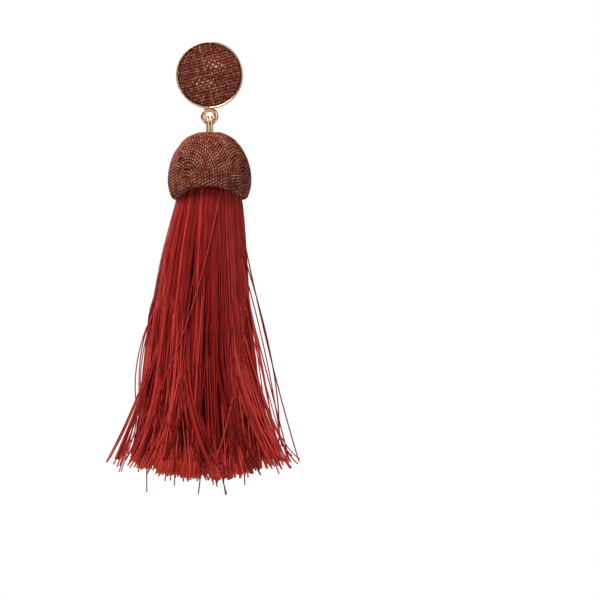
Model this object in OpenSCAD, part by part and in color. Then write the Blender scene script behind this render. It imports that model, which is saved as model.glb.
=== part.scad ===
// Tassel earring: a round setting with a cloth button and an ear post, a pair of wire rings, and a wound
// thread cap that holds a long fringe. The cloth faces -Y, +Z is up, and the origin is where the post
// leaves the back of the setting.

/* [Setting] */
// Diameter of the round setting
setting_d = 15; // [12:0.5:20]
// Depth of the setting, from its back to the top of its rim
setting_depth = 2.2; // [1.8:0.1:3.5]
// Thickness of the back plate
plate_t = 0.6; // [0.4:0.1:0.9]
// Thickness of the rim round the cloth
rim_t = 0.35; // [0.25:0.05:0.6]
// How far the edge of the cloth lies below the rim
cloth_sink = 0.35; // [0.2:0.05:0.6]
// How far the middle of the cloth swells out past its edge
cloth_swell = 0.7; // [0.3:0.1:1.2]
// Gap between pieces that are pressed or glued together
fit_gap = 0.08; // [0.04:0.01:0.15]

/* [Post] */
// Diameter of the ear post
post_d = 0.8; // [0.6:0.05:1.1]
// Length of the ear post behind the setting
post_len = 10; // [8:0.5:13]
// How far the post stands above the middle of the setting
post_rise = 2; // [0:0.5:4]

/* [Loop and rings] */
// Thickness of the soldered loop's round bar
bar_d = 1.1; // [0.9:0.05:1.4]
// How far the loop sinks into the solder under the setting
solder_sink = 0.3; // [0.2:0.05:0.5]
// Thickness of the link rings' wire
wire_d = 0.66; // [0.5:0.02:0.8]
// Free space between a ring's wire and the bar that it hangs on
ring_clear = 0.33; // [0.28:0.01:0.45]
// Length of a ring between the middles of its two round ends
ring_span = 3; // [2.6:0.1:5]
// Gap between the two rings at the front
ring_gap = 0.05; // [0.03:0.01:0.1]
// Angle that each ring turns outward towards the back
ring_yaw = 3; // [0:0.5:4]
// Gap between a ring's wire and the loop with the rings swung fully back
swing_clear = 0.03; // [0.02:0.01:0.06]

/* [Cap] */
// Widest diameter of the wound cap
cap_d = 18.4; // [16:0.2:24]
// Height of the cap at its sides
cap_h = 15; // [13:0.5:20]
// Height from the cap's lowest edge up to its widest ring
belly_h = 4.1; // [3:0.1:5]
// How far the cap draws in from its widest ring to its edge
tuck = 1; // [0.6:0.1:1.6]
// How far the edge arches up at the front and the back
arch_rise = 2.7; // [1:0.1:3.5]
// Thickness of the wound wall
wall_t = 1.5; // [1.4:0.1:2]
// Thickness of the wall at its lower edge
hem_t = 0.9; // [0.7:0.1:1.2]
// Depth of the head pin's axis below the top of the cap
pin_depth = 0.9; // [0.85:0.05:1]
// How far each end of the head pin reaches into the cap's lip
pin_bed = 0.75; // [0.5:0.05:0.85]
// Free space round the rings in the cap's mouth
mouth_clear = 0.12; // [0.08:0.01:0.3]
// Angle that the tassel can rock to each side on its rings
rock_angle = 25; // [15:1:26]

/* [Fringe] */
// Length of the fringe below the cap's lowest edge
fringe_len = 62; // [40:1:90]
// Widest reach of the fringe to the left and right
fringe_reach = 18; // [14:0.5:26]
// Widest reach of the fringe to the front and back
fringe_depth = 13.5; // [11:0.5:20]
// Number of locks round the outside
lock_count = 28; // [22:2:32]
// Gap between the fringe's head and the cap
head_gap = 0.12; // [0.08:0.01:0.2]

/* [Hidden] */
$fn = 64;

gold = "#cdb196";
cloth_brown = "#6a392e";
thread_brown = "#713b2e";
silk_red = "#791f1c";

// Length of the post's tapered tip
tip_len = post_d;

// Where a wire of the pair lies in the loop's hole, with the rings swung fully back
wire_r = wire_d / 2;
bar_r = bar_d / 2;
ring_end_r = bar_r + ring_clear + wire_r;
ring_out_r = ring_end_r + wire_r;
front_x = (wire_d + ring_gap) / 2;
back_x = front_x + 2 * ring_end_r * sin(ring_yaw);
pair_half_w = back_x + wire_r;

// The hole is as small as lets both wires through: a circle that holds the outer wire's own circle
wire_lift = ring_end_r - bar_r;
wire_room = wire_r + swing_clear;
hole_r = (wire_lift ^ 2 - wire_room ^ 2 + back_x ^ 2) / (2 * (wire_lift - wire_room));
loop_mid_r = hole_r + bar_r;
loop_out_r = hole_r + bar_d;

setting_z = -post_rise;
loop_z = setting_z - setting_d / 2 - loop_out_r + solder_sink;
loop_y = -setting_depth / 2;
bar_z = loop_z - loop_mid_r;
pin_z = bar_z - ring_span;

// The cap's heights, which all follow from the head pin's, and its radii
cap_r = cap_d / 2;
cap_top = pin_z + pin_depth;
belly_z = cap_top - cap_h + belly_h;
hem_z = cap_top - cap_h;
hem_out_r = cap_r - tuck;
hem_in_r = hem_out_r - hem_t;
belly_in_r = cap_r - wall_t;

// The mouth lets the pair of rings rock, and the head pin crosses it inside the rings' lower ends
lip_r = wall_t / 2;
mouth_r = norm([pair_half_w / cos(rock_angle), ring_out_r]) + mouth_clear;
crest_r = mouth_r + lip_r;
dome_h = (cap_top - belly_z) / sqrt(1 - (crest_r / cap_r) ^ 2);
pin_half_len = mouth_r + pin_bed;
pin_r = (ring_end_r - wire_r - pair_half_w * tan(rock_angle) - fit_gap) * cos(rock_angle);

// The fringe's head starts under the lowest sweep of the rings
head_top = pin_z - norm([ring_out_r, pair_half_w]) - fit_gap;

// Share of the dome's height at which its curve ends and the lip's begins
lip_start = 0.985;
// Steps of the curves that draw in below the belly
tuck_steps = 4;

// Radius of the cap's outside at height z above the belly, an ellipse, and below it, a circular arc
tuck_arc_r = (tuck ^ 2 + belly_h ^ 2) / (2 * tuck);
function dome_r(z, r, h) = r * sqrt(max(0, 1 - (z / h) ^ 2));
function tuck_r(z) = cap_r - tuck_arc_r + sqrt(tuck_arc_r ^ 2 - z ^ 2);

// Radius of the cap's inside at height z, with the wall thinning from the belly to the hem
dome_in_h = dome_h - wall_t;
function inside_r(z) = z >= belly_z
    ? dome_r(z - belly_z, belly_in_r, dome_in_h)
    : hem_in_r + (belly_in_r - hem_in_r) * sqrt(1 - ((belly_z - z) / (belly_z - hem_z)) ^ 2);

// Columns of fringe_rows: how far down the fringe, and how far it has spread to the left, the right, and
// the front and back, as shares of the fringe's own length and of its spread past the cap's hem
DOWN = 0;
LEFT = 1;
RIGHT = 2;
DEEP = 3;
fringe_rows = [
    [0.03, 0.07, 0.04, 0.08],
    [0.20, 0.34, 0.12, 0.30],
    [0.42, 0.60, 0.21, 0.56],
    [0.64, 0.73, 0.31, 0.76],
    [0.84, 0.82, 0.60, 0.92],
    [1.00, 1.00, 0.72, 1.00]
];

// Columns of stray_locks: heading at the top and at the end, reach past the skirt as a share of its own
// reach, girth as a share of a lock's, length as a share of the fringe's, and the row that it starts from
FROM = 0;
TO = 1;
REACH = 2;
GIRTH = 3;
LENGTH = 4;
START = 5;
stray_locks = [
    [186, 184, 1.22, 0.30, 0.955, 2],
    [200, 193, 1.08, 0.40, 0.970, 2],
    [222, 207, 1.06, 0.45, 0.985, 3],
    [-6, -3, 1.38, 0.30, 0.950, 1],
    [-22, -13, 1.22, 0.40, 0.965, 2],
    [-48, -28, 1.12, 0.45, 0.990, 2],
    [-62, -118, 1.02, 0.30, 0.700, 0],
    [150, 162, 1.08, 0.45, 0.980, 3],
    [24, 18, 1.10, 0.40, 0.975, 2]
];

// Columns of filling_rings, the rings of locks that fill the cut end inside the outer ring: radius and number
// of locks as shares of the outer ring's, and girth as a share of an outer lock's
RADIUS = 0;
NUMBER = 1;
FILLING_GIRTH = 2;
filling_rings = [
    [0.76, 0.70, 1.25],
    [0.52, 0.45, 1.40],
    [0.24, 0.20, 1.60]
];
// The row inside the core from which the filling locks start
filling_start = 4;

// Width of a lock against its share of the hem, so that neighbours grow into each other
lock_overlap = 1.15;
// Sides of a lock's section, its thickness as a share of its width, and its girth at the cut end as a share
// of its girth above
lock_sides = 8;
lock_flat = 0.8;
lock_taper = 0.8;
// How much shorter the locks at the sides are than those in the middle
side_short = 0.06;
// How far down the core reaches, and its girth, as shares of the fringe's length and of the skirt's reach
core_len = 0.93;
core_fill = 0.88;
// How far below the skirt's face a stray lock starts, as a share of the skirt's reach, and the power of its
// length by which it leaves the skirt
stray_bed = 0.06;
stray_power = 1.5;
// How much locks of one ring differ: in heading at the cut end, in degrees, and in length, as a share
heading_scatter = 4;
length_scatter = 0.012;
scatter_seed = 11;

// Reach of the skirt in the heading a, at share s of the way down
function row_mix(s, column, i = 0) = i >= len(fringe_rows) - 1 ? fringe_rows[i][column]
    : s <= fringe_rows[i + 1][DOWN] ? let (
        low = fringe_rows[i],
        high = fringe_rows[i + 1],
        t = max(0, (s - low[DOWN]) / (high[DOWN] - low[DOWN]))
    ) low[column] + (high[column] - low[column]) * t
    : row_mix(s, column, i + 1);
function side_reach(s, a) = hem_in_r + (fringe_reach - hem_in_r) * row_mix(s, cos(a) < 0 ? LEFT : RIGHT);
function deep_reach(s) = hem_in_r + (fringe_depth - hem_in_r) * row_mix(s, DEEP);
function skirt_point(s, a, share) = [side_reach(s, a) * cos(a) * share, deep_reach(s) * sin(a) * share];
function cut_share(a) = 1 - side_short * cos(a) ^ 2;

// A closed tube through level oval sections, each [centre, heading, width, thickness]
module sweep(sections) {
    rings = len(sections);
    points = [
        for (s = sections, k = [0 : lock_sides - 1])
            let (
                u = 360 * (k + 0.5) / lock_sides,
                along = s[2] / 2 * cos(u),
                out = s[3] / 2 * sin(u)
            )
            s[0] + [
                out * cos(s[1]) - along * sin(s[1]),
                out * sin(s[1]) + along * cos(s[1]),
                0
            ]
    ];
    walls = [
        for (i = [0 : rings - 2], k = [0 : lock_sides - 1])
            let (
                a = i * lock_sides + k,
                b = i * lock_sides + (k + 1) % lock_sides,
                c = b + lock_sides,
                d = a + lock_sides
            )
            each [[a, c, b], [a, d, c]]
    ];
    top = [for (k = [0 : lock_sides - 1]) k];
    bottom = [for (k = [lock_sides - 1 : -1 : 0]) (rings - 1) * lock_sides + k];
    polyhedron(points = points, faces = concat([top], walls, [bottom]), convexity = 4);
}

// The two level sections of a lock inside the cap, from the head to the hem
function root_sections(a, girth) =
    let (root_r = min(inside_r(belly_z), hem_in_r) - head_gap - girth / 2)
    [for (z = [belly_z, hem_z]) [[root_r * cos(a), root_r * sin(a), z], a, girth, girth]];

// A lock's sections along the skirt, from the row first to its cut end
function skirt_sections(from, to, share, reach, girth, length, first) = [
    for (i = [first : len(fringe_rows) - 1])
        let (
            down = fringe_rows[i][DOWN],
            s = down * length,
            a = from + (to - from) * down,
            bed = first > 0 && i == first ? stray_bed : 0,
            fan = 1 + (reach - 1) * down ^ stray_power - bed,
            edge = skirt_point(s, a, share * fan),
            tip = i == len(fringe_rows) - 1 ? lock_taper : 1,
            wide = girth * tip * side_reach(s, a) / hem_in_r,
            thick = lock_flat * wide,
            inward = thick / 2 * [cos(a), sin(a)]
        )
        [[edge[0] - inward[0], edge[1] - inward[1], hem_z - s * fringe_len], a, wide, thick]
];

// A lock of the outside: it leaves the head, passes the hem and follows the skirt down to its cut end
module lock(from, to, reach, girth, length) {
    sweep(concat(root_sections(from, girth), skirt_sections(from, to, 1, reach, girth, length, 0)));
}

// A lock of the filling, which comes out of the core's lower end
module filling_lock(from, to, share, girth, length) {
    sweep(skirt_sections(from, to, share, 1, girth, length, filling_start));
}

// A thin lock that comes out of the skirt and fans out past it
module stray_lock(stray, girth) {
    sweep(skirt_sections(
        stray[FROM], stray[TO], 1, stray[REACH], stray[GIRTH] * girth, stray[LENGTH], stray[START]
    ));
}

module setting() {
    color(gold) {
        translate([0, 0, setting_z]) rotate([90, 0, 0]) rotate_extrude() {
            square([setting_d / 2 - rim_t / 2, plate_t]);
            translate([setting_d / 2 - rim_t, 0]) square([rim_t, setting_depth - rim_t / 2]);
            translate([setting_d / 2 - rim_t / 2, setting_depth - rim_t / 2]) circle(d = rim_t);
        }
        translate([0, loop_y, loop_z]) rotate([90, 0, 0])
            rotate_extrude() translate([loop_mid_r, 0]) circle(r = bar_r);
        rotate([-90, 0, 0]) {
            translate([0, 0, -plate_t / 2]) cylinder(d = post_d, h = post_len - tip_len + plate_t / 2);
            translate([0, 0, post_len - tip_len]) cylinder(d1 = post_d, d2 = post_d / 2, h = tip_len);
        }
    }
}

module cloth_button() {
    button_r = setting_d / 2 - rim_t - fit_gap;
    edge_h = setting_depth - cloth_sink;
    swell_r = (button_r ^ 2 + cloth_swell ^ 2) / (2 * cloth_swell);
    seat = plate_t + fit_gap;
    color(cloth_brown) translate([0, 0, setting_z]) rotate([90, 0, 0]) rotate_extrude() intersection() {
        translate([0, seat]) square([button_r, edge_h + cloth_swell]);
        translate([0, edge_h + cloth_swell - swell_r]) circle(r = swell_r, $fn = 256);
    }
}

// A long wire ring that hangs on the loop's bar, its front leg at x = 0 and its back leg turned outward
module link_ring() {
    color(gold) translate([0, loop_y, pin_z]) rotate([90, 0, 90]) {
        for (end = [0, 1])
            translate([0, end * ring_span, 0]) rotate([0, 0, end * 180 + 180])
                rotate_extrude(angle = 180) translate([ring_end_r, 0]) circle(r = wire_r);
        for (leg = [-1, 1])
            translate([leg * ring_end_r, 0, 0]) rotate([-90, 0, 0]) cylinder(r = wire_r, h = ring_span);
    }
}

// side is -1 for the left ring and 1 for the right one
module turned_ring(side) {
    front_leg = [0, loop_y - ring_end_r, 0];
    translate([side * front_x, 0, 0]) translate(front_leg) rotate([0, 0, -side * ring_yaw])
        translate(-front_leg) link_ring();
}

module link_ring_left() {
    turned_ring(-1);
}

module link_ring_right() {
    turned_ring(1);
}

module head_pin() {
    color(gold) translate([0, loop_y, pin_z]) rotate([0, 90, 0])
        cylinder(r = pin_r, h = 2 * pin_half_len, center = true);
}

// The wall's section: up the outside, over the lip, down the inside, and round the hem
module cap_section() {
    arc_steps = 8;
    outer_top = cap_top - belly_z;
    lip_mid = [crest_r, cap_top - lip_r];
    hem_mid = [hem_in_r + hem_t / 2, hem_z + hem_t / 2];
    outside_tuck = [
        for (i = [1 : tuck_steps - 1])
            let (z = (hem_t / 2 - belly_h) * (1 - i / tuck_steps))
            [tuck_r(z), belly_z + z]
    ];
    outside_dome = [
        for (i = [0 : arc_steps])
            let (z = outer_top * sin(90 * i / arc_steps) * lip_start)
            [dome_r(z, cap_r, dome_h), belly_z + z]
    ];
    lip = [for (a = [60 : 30 : 180]) lip_mid + lip_r * [cos(a), sin(a)]];
    inner_top = dome_in_h * sqrt(1 - (mouth_r / belly_in_r) ^ 2);
    inside = [
        for (i = [0 : arc_steps])
            let (z = belly_z + inner_top * cos(90 * i / arc_steps))
            [inside_r(z), z]
    ];
    inside_tuck = [
        for (i = [1 : tuck_steps - 1])
            let (z = belly_z - (belly_h - hem_t / 2) * i / tuck_steps)
            [inside_r(z), z]
    ];
    hem = [for (a = [180 : 30 : 360]) hem_mid + hem_t / 2 * [cos(a), sin(a)]];
    polygon(concat(outside_tuck, outside_dome, lip, inside, inside_tuck, hem));
}

module wound_cap() {
    arch_r = (hem_out_r ^ 2 + arch_rise ^ 2) / (2 * arch_rise);
    color(thread_brown) difference() {
        translate([0, loop_y, 0]) rotate_extrude() cap_section();
        translate([0, loop_y, hem_z + arch_rise - arch_r]) rotate([90, 0, 0])
            cylinder(r = arch_r, h = 2 * cap_d, center = true);
        translate([0, loop_y, pin_z]) rotate([0, 90, 0])
            cylinder(r = pin_r + fit_gap, h = 2 * (pin_half_len + fit_gap), center = true);
    }
}

// The folded bundle inside the cap and, below it, the core of the skirt, which carries the locks
module core() {
    steps = 6;
    sides = 20;
    slice = 0.1;
    in_cap = [
        for (i = [0 : steps])
            let (
                z = head_top + (hem_z - head_top) * i / steps,
                r = (inside_r(z) - head_gap) * (1 - (1 - core_fill) * i / steps)
            )
            [z, [for (k = [1 : sides]) r * [cos(360 * k / sides), sin(360 * k / sides)]]]
    ];
    below = [
        for (s = concat([for (row = fringe_rows) if (row[DOWN] < core_len) row[DOWN]], [core_len]))
            [hem_z - s * fringe_len, [for (k = [1 : sides]) skirt_point(s, 360 * k / sides, core_fill)]]
    ];
    path = concat(in_cap, below);
    for (i = [0 : len(path) - 2])
        hull()
            for (end = [path[i], path[i + 1]])
                translate([0, 0, end[0] - slice]) linear_extrude(slice) polygon(end[1]);
}

// The outer ring of locks, whose lengths follow the shallow arc of the cut end
module outer_locks(girth) {
    turn = rands(-1, 1, lock_count, scatter_seed);
    trim = rands(-1, 1, lock_count, scatter_seed + 1);
    for (i = [0 : lock_count - 1]) {
        a = 360 * (i + 0.5) / lock_count;
        lock(a, a + heading_scatter * turn[i], 1, girth, cut_share(a) + length_scatter * trim[i]);
    }
}

// One ring of the filling, ring being its row in filling_rings
module filling_locks(ring, girth, seed) {
    count = round(ring[NUMBER] * lock_count);
    turn = rands(-1, 1, count, seed);
    trim = rands(-1, 1, count, seed + 1);
    for (i = [0 : count - 1]) {
        a = 360 * i / count;
        filling_lock(
            a, a + heading_scatter * turn[i], ring[RADIUS], ring[FILLING_GIRTH] * girth,
            1 - side_short * (cos(a) * ring[RADIUS]) ^ 2 + length_scatter * trim[i]
        );
    }
}

module fringe() {
    girth = 2 * PI * (hem_in_r - head_gap) / lock_count * lock_overlap;
    color(silk_red) translate([0, loop_y, 0]) {
        core();
        outer_locks(girth);
        for (i = [0 : len(filling_rings) - 1])
            filling_locks(filling_rings[i], girth, scatter_seed + 10 * (i + 1));
        for (stray = stray_locks)
            stray_lock(stray, girth);
    }
}

setting();
cloth_button();
link_ring_left();
link_ring_right();
head_pin();
wound_cap();
fringe();
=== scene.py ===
"""Dresses the tassel earring: metal, woven button, wound cap and silky fringe, in one studio."""

import logging
import math
from dataclasses import dataclass, field
from enum import Enum
from typing import ClassVar

import bpy
import numpy as np
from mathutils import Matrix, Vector

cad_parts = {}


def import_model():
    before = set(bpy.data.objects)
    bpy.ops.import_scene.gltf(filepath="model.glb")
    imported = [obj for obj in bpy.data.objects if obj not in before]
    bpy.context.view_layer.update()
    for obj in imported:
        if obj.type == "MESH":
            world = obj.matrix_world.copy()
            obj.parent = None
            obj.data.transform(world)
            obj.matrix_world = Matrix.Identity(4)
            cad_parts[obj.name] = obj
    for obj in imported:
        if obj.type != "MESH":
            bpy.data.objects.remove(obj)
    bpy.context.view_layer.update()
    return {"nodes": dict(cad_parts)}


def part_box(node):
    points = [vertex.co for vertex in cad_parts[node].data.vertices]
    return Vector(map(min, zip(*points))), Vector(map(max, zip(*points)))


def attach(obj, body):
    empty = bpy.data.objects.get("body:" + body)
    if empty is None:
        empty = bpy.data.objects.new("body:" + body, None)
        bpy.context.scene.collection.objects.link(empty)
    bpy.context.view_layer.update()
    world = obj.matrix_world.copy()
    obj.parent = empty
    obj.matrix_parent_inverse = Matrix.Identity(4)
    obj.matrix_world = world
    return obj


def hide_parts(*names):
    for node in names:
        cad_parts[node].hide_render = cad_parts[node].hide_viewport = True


MM = 0.001
TURN = 2 * math.pi
GOLDEN_TURN = math.pi * (3 - math.sqrt(5))
ALONG_MAP = "Along"
LOT = "lot"
ACCENT = "accent"
# A thread's accent goes from 0 in a valley, where it gets painted shade, to this on a plain crown, and on to
# 1 at a painted glint.
CROWN_TOP = 0.5

log = logging.getLogger("tassel_earring")
Array = np.ndarray
Chance = np.random.Generator
Material = bpy.types.Material
Mesh = bpy.types.Mesh
Piece = bpy.types.Object
Node = bpy.types.Node
Socket = bpy.types.NodeSocket
Sockets = bpy.types.NodeOutputs
Colour = tuple[float, float, float]
Span = tuple[float, float]


class Body(Enum):
    """The rigid bodies that new pieces ride on."""

    STUD = "stud"
    TASSEL = "tassel"


class Slot(Enum):
    """The record's material slots, by name."""

    CLOTH = "woven_cloth"
    THREAD = "wound_thread"
    FLOSS = "silky_fringe"


def smooth_step(low: float, high: float, value: Array) -> Array:
    """Rises smoothly from 0 at low to 1 at high, or falls if high is the lesser.

    Args:
        low: The value at which the rise starts.
        high: The value at which it ends.
        value: The values to be judged.

    Returns:
        The share of the rise at each value.
    """
    t = np.clip((value - low) / (high - low), 0.0, 1.0)
    return t * t * (3 - 2 * t)


def soft_least(value: Array, bound: Array, ease: float) -> Array:
    """Keeps values below a bound, with a bend that starts at a distance called ease."""
    return bound - ease * np.logaddexp(0.0, (bound - value) / ease)


def unit(vectors: Array) -> Array:
    """Scales each vector of an array to a length of 1."""
    lengths = np.linalg.norm(vectors, axis=-1, keepdims=True)
    return vectors / np.maximum(lengths, 1e-12)


def points_of(*parts: Array) -> Array:
    """Joins arrays of single coordinates into one array of points."""
    return np.stack(np.broadcast_arrays(*parts), axis=-1)


def ripple(along: Array, waves: float, rng: Chance) -> Array:
    """Waves of height 1 along a thread, which start where chance has it."""
    return np.sin(along * waves + rng.uniform(0, TURN))


def sunflower(count: int, inner: float = 0.0, outer: float = 1.0) -> Array:
    """Spreads points evenly over a ring.

    Args:
        count: Number of points.
        inner: The ring's inner radius.
        outer: Its outer radius.

    Returns:
        The points, as count by 2.
    """
    number = np.arange(count) + 0.5
    out = np.sqrt(inner**2 + (outer**2 - inner**2) * number / count)
    turn = number * GOLDEN_TURN
    return points_of(out * np.cos(turn), out * np.sin(turn))


def linear(red: int, green: int, blue: int) -> Colour:
    """Turns a colour of a picture, 0 to 255 a channel, into Blender's linear light."""
    return tuple(((c / 255 + 0.055) / 1.055) ** 2.4 for c in (red, green, blue))


class TubeMesh:
    """Gathers many thin tubes and joins them into one mesh, with a map along and round each of them."""

    def __init__(self, sides: int) -> None:
        """Starts with no tubes.

        Args:
            sides: The number of faces round each tube.
        """
        self.sides = sides
        self.points: list[Array] = []
        self.walls: list[Array] = []
        self.ends: list[list[int]] = []
        self.wall_maps: list[Array] = []
        self.wall_marks: dict[str, list[Array]] = {LOT: [], ACCENT: []}
        self.end_marks: dict[str, list[Array]] = {LOT: [], ACCENT: []}
        self.count = 0

    def add(
        self,
        paths: Array,
        outward: Array,
        radii: Array,
        lots: Array,
        accents: Array,
        lobe: float = 0.0,
        lobe_turns: float = 0.0,
    ) -> None:
        """Adds tubes that all have the same number of points.

        Args:
            paths: Middle points, as tubes by points by 3.
            outward: The direction that each section's top faces, in the same form.
            radii: Radius at each point, as tubes by points.
            lots: One number from 0 to 1 for each tube, which its material reads.
            accents: How much each point is picked out from its neighbours, from 0 to 1, as tubes by points;
                the materials paint shade, glints or a tip's highlight from it.
            lobe: How far the two plies of a twisted thread stand out, as a share of its radius.
            lobe_turns: Turns of the twist for each metre of thread.
        """
        tubes, steps, _ = paths.shape
        around = np.arange(self.sides) / self.sides * TURN
        tangent = unit(np.gradient(paths, axis=1))
        up = unit(outward - np.sum(outward * tangent, axis=-1, keepdims=True) * tangent)
        across = np.cross(tangent, up)
        gaps = np.linalg.norm(np.diff(paths, axis=1), axis=-1)
        along = np.concatenate([np.zeros((tubes, 1)), np.cumsum(gaps, axis=1)], axis=1)
        phase = TURN * lobe_turns * along[..., None] + lots[:, None, None] * TURN
        reach = radii[..., None] * (1 + lobe * np.cos(2 * (around - phase)))
        wide = (reach * np.cos(around))[..., None] * across[:, :, None, :]
        high = (reach * np.sin(around))[..., None] * up[:, :, None, :]
        self.points.append((paths[:, :, None, :] + wide + high).reshape(-1, 3))

        tube, step, side = np.meshgrid(
            np.arange(tubes), np.arange(steps - 1), np.arange(self.sides), indexing="ij"
        )
        here = self.count + (tube * steps + step) * self.sides
        beside = (side + 1) % self.sides
        below = here + self.sides
        self.walls.append(points_of(here + side, below + side, below + beside, here + beside).reshape(-1, 4))
        left = side / self.sides
        right = (side + 1) / self.sides
        start = along[tube, step]
        stop = along[tube, step + 1]
        corners = [(left, start), (left, stop), (right, stop), (right, start)]
        self.wall_maps.append(np.stack([points_of(*c) for c in corners], axis=-2).reshape(-1, 2))

        first = self.count + np.arange(tubes)[:, None] * steps * self.sides
        last = first + (steps - 1) * self.sides
        order = np.arange(self.sides)
        self.ends += (first + order).tolist()
        self.ends += (last + order[::-1]).tolist()
        for name, values in ((LOT, np.repeat(lots[:, None], steps, axis=1)), (ACCENT, accents)):
            self.wall_marks[name].append(((values[tube, step] + values[tube, step + 1]) / 2).reshape(-1))
            self.end_marks[name] += [values[:, 0], values[:, -1]]
        self.count += tubes * steps * self.sides

    def build(self, name: str, material: Material) -> Piece:
        """Makes the joined mesh.

        Args:
            name: Name of the piece.
            material: Its material.

        Returns:
            The new object, linked to the scene.
        """
        walls = np.concatenate(self.walls)
        mesh = bpy.data.meshes.new(name)
        mesh.from_pydata(np.concatenate(self.points), [], walls.tolist() + self.ends)
        end_map = np.zeros((sum(len(end) for end in self.ends), 2))
        along = mesh.uv_layers.new(name=ALONG_MAP)
        along.uv.foreach_set("vector", np.concatenate([*self.wall_maps, end_map]).ravel())
        for mark in (LOT, ACCENT):
            values = mesh.attributes.new(mark, "FLOAT", "FACE")
            values.data.foreach_set("value", np.concatenate(self.wall_marks[mark] + self.end_marks[mark]))
        smooth = np.ones(len(mesh.polygons), dtype=bool)
        smooth[len(walls):] = False
        mesh.polygons.foreach_set("use_smooth", smooth)
        mesh.update()
        mesh.validate()
        return add_object(name, mesh, material)


def add_object(name: str, mesh: Mesh, material: Material) -> Piece:
    """Puts a mesh into the scene as a piece.

    Args:
        name: Name of the piece.
        mesh: Its mesh, in the row frame.
        material: Its material.

    Returns:
        The new object.
    """
    mesh.materials.append(material)
    piece = bpy.data.objects.new(name, mesh)
    bpy.context.scene.collection.objects.link(piece)
    return piece


class Board:
    """A node tree with short calls that add and join its nodes."""

    def __init__(self, tree: bpy.types.ShaderNodeTree) -> None:
        """Starts work on a tree."""
        self.tree = tree

    def node(self, kind: str, **settings: object) -> Node:
        """Adds a node.

        Args:
            kind: Its type, without the words ShaderNode.
            settings: Properties of the node, by name.

        Returns:
            The new node.
        """
        node = self.tree.nodes.new(kind if kind.startswith("Node") else "ShaderNode" + kind)
        for name, value in settings.items():
            setattr(node, name, value)
        return node

    def feed(self, socket: Socket, source: object) -> None:
        """Joins a socket to another one, or sets it.

        Args:
            socket: The input socket.
            source: An output socket, or a plain value.
        """
        if isinstance(source, Socket):
            self.tree.links.new(source, socket)
        else:
            socket.default_value = source

    def math(self, operation: str, *sources: object) -> Socket:
        """Adds a Math node.

        Args:
            operation: What it does.
            sources: Its inputs, in order.

        Returns:
            Its result.
        """
        node = self.node("Math", operation=operation)
        for socket, source in zip(node.inputs, sources):
            self.feed(socket, source)
        return node.outputs[0]

    def mark(self, name: str) -> Socket:
        """Adds an Attribute node that reads one of the marks of a tube's faces, and returns its value."""
        return self.node("Attribute", attribute_name=name).outputs["Fac"]

    def split(self, vector: object) -> Sockets:
        """Adds a Separate XYZ node.

        Args:
            vector: What it separates.

        Returns:
            Its outputs, X, Y and Z.
        """
        node = self.node("SeparateXYZ")
        self.feed(node.inputs[0], vector)
        return node.outputs

    def join(self, across: object, along: object = 0.0) -> Socket:
        """Adds a Combine XYZ node.

        Args:
            across: The source of X.
            along: The source of Y.

        Returns:
            Its vector.
        """
        node = self.node("CombineXYZ")
        self.feed(node.inputs["X"], across)
        self.feed(node.inputs["Y"], along)
        return node.outputs[0]

    def noise(self, vector: object, scale: object, detail: float = 3.0) -> Socket:
        """Adds a Noise Texture.

        Args:
            vector: The place that it reads.
            scale: Its scale.
            detail: How many finer layers it has.

        Returns:
            Its factor.
        """
        node = self.node("TexNoise")
        self.feed(node.inputs["Vector"], vector)
        self.feed(node.inputs["Scale"], scale)
        node.inputs["Detail"].default_value = detail
        return node.outputs["Fac"]

    def stretch(self, vector: object, scale: tuple[float, float, float]) -> Socket:
        """Adds a Mapping node that only scales.

        Args:
            vector: What it scales.
            scale: The factor along each axis.

        Returns:
            Its vector.
        """
        node = self.node("Mapping")
        self.feed(node.inputs["Vector"], vector)
        node.inputs["Scale"].default_value = scale
        return node.outputs["Vector"]

    def span(self, value: object, source: Span = (0.0, 1.0), target: Span = (0.0, 1.0)) -> Socket:
        """Maps a value from one span to another.

        Args:
            value: The value.
            source: The span that it comes in.
            target: The span that it leaves in.

        Returns:
            The mapped value, held within the second span.
        """
        node = self.node("MapRange")
        names = ("Value", "From Min", "From Max", "To Min", "To Max")
        for name, given in zip(names, (value, *source, *target)):
            self.feed(node.inputs[name], given)
        return node.outputs["Result"]

    def mix(self, share: object, first: object, second: object) -> Socket:
        """Mixes two colours.

        Args:
            share: The share of the second.
            first: The first colour.
            second: The second colour.

        Returns:
            The mixed colour.
        """
        node = self.node("Mix", data_type="RGBA")
        for name, source in zip(("Factor_Float", "A_Color", "B_Color"), (share, first, second)):
            socket = next(s for s in node.inputs if s.identifier == name)
            self.feed(socket, (*source, 1.0) if isinstance(source, tuple) else source)
        return next(s for s in node.outputs if s.identifier == "Result_Color")


class EffectGroup:
    """A node group with named sockets that more than one material uses."""

    def __init__(self, name: str, inputs: dict[str, object], outputs: tuple[str, ...]) -> None:
        """Makes the empty group.

        Args:
            name: Name of the group.
            inputs: Its inputs, each with the value that it starts with: one number, or three for a vector.
            outputs: The names of its outputs, which are all single numbers.
        """
        self.tree = bpy.data.node_groups.new(name, "ShaderNodeTree")
        for socket, value in inputs.items():
            kind = "NodeSocketVector" if isinstance(value, tuple) else "NodeSocketFloat"
            made = self.tree.interface.new_socket(name=socket, in_out="INPUT", socket_type=kind)
            made.default_value = value
        for socket in outputs:
            self.tree.interface.new_socket(name=socket, in_out="OUTPUT", socket_type="NodeSocketFloat")
        self.board = Board(self.tree)
        self.inputs = self.board.node("NodeGroupInput").outputs
        self.outputs = self.board.node("NodeGroupOutput").inputs

    def place(self, board: Board, **sources: object) -> Sockets:
        """Puts the group into a tree.

        Args:
            board: The tree that it goes into.
            sources: Sockets or values for its inputs, by name, with _ for a space.

        Returns:
            The outputs, to be picked by name.
        """
        node = board.node("Group")
        node.node_tree = self.tree
        for name, source in sources.items():
            board.feed(node.inputs[name.replace("_", " ")], source)
        return node.outputs


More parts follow.
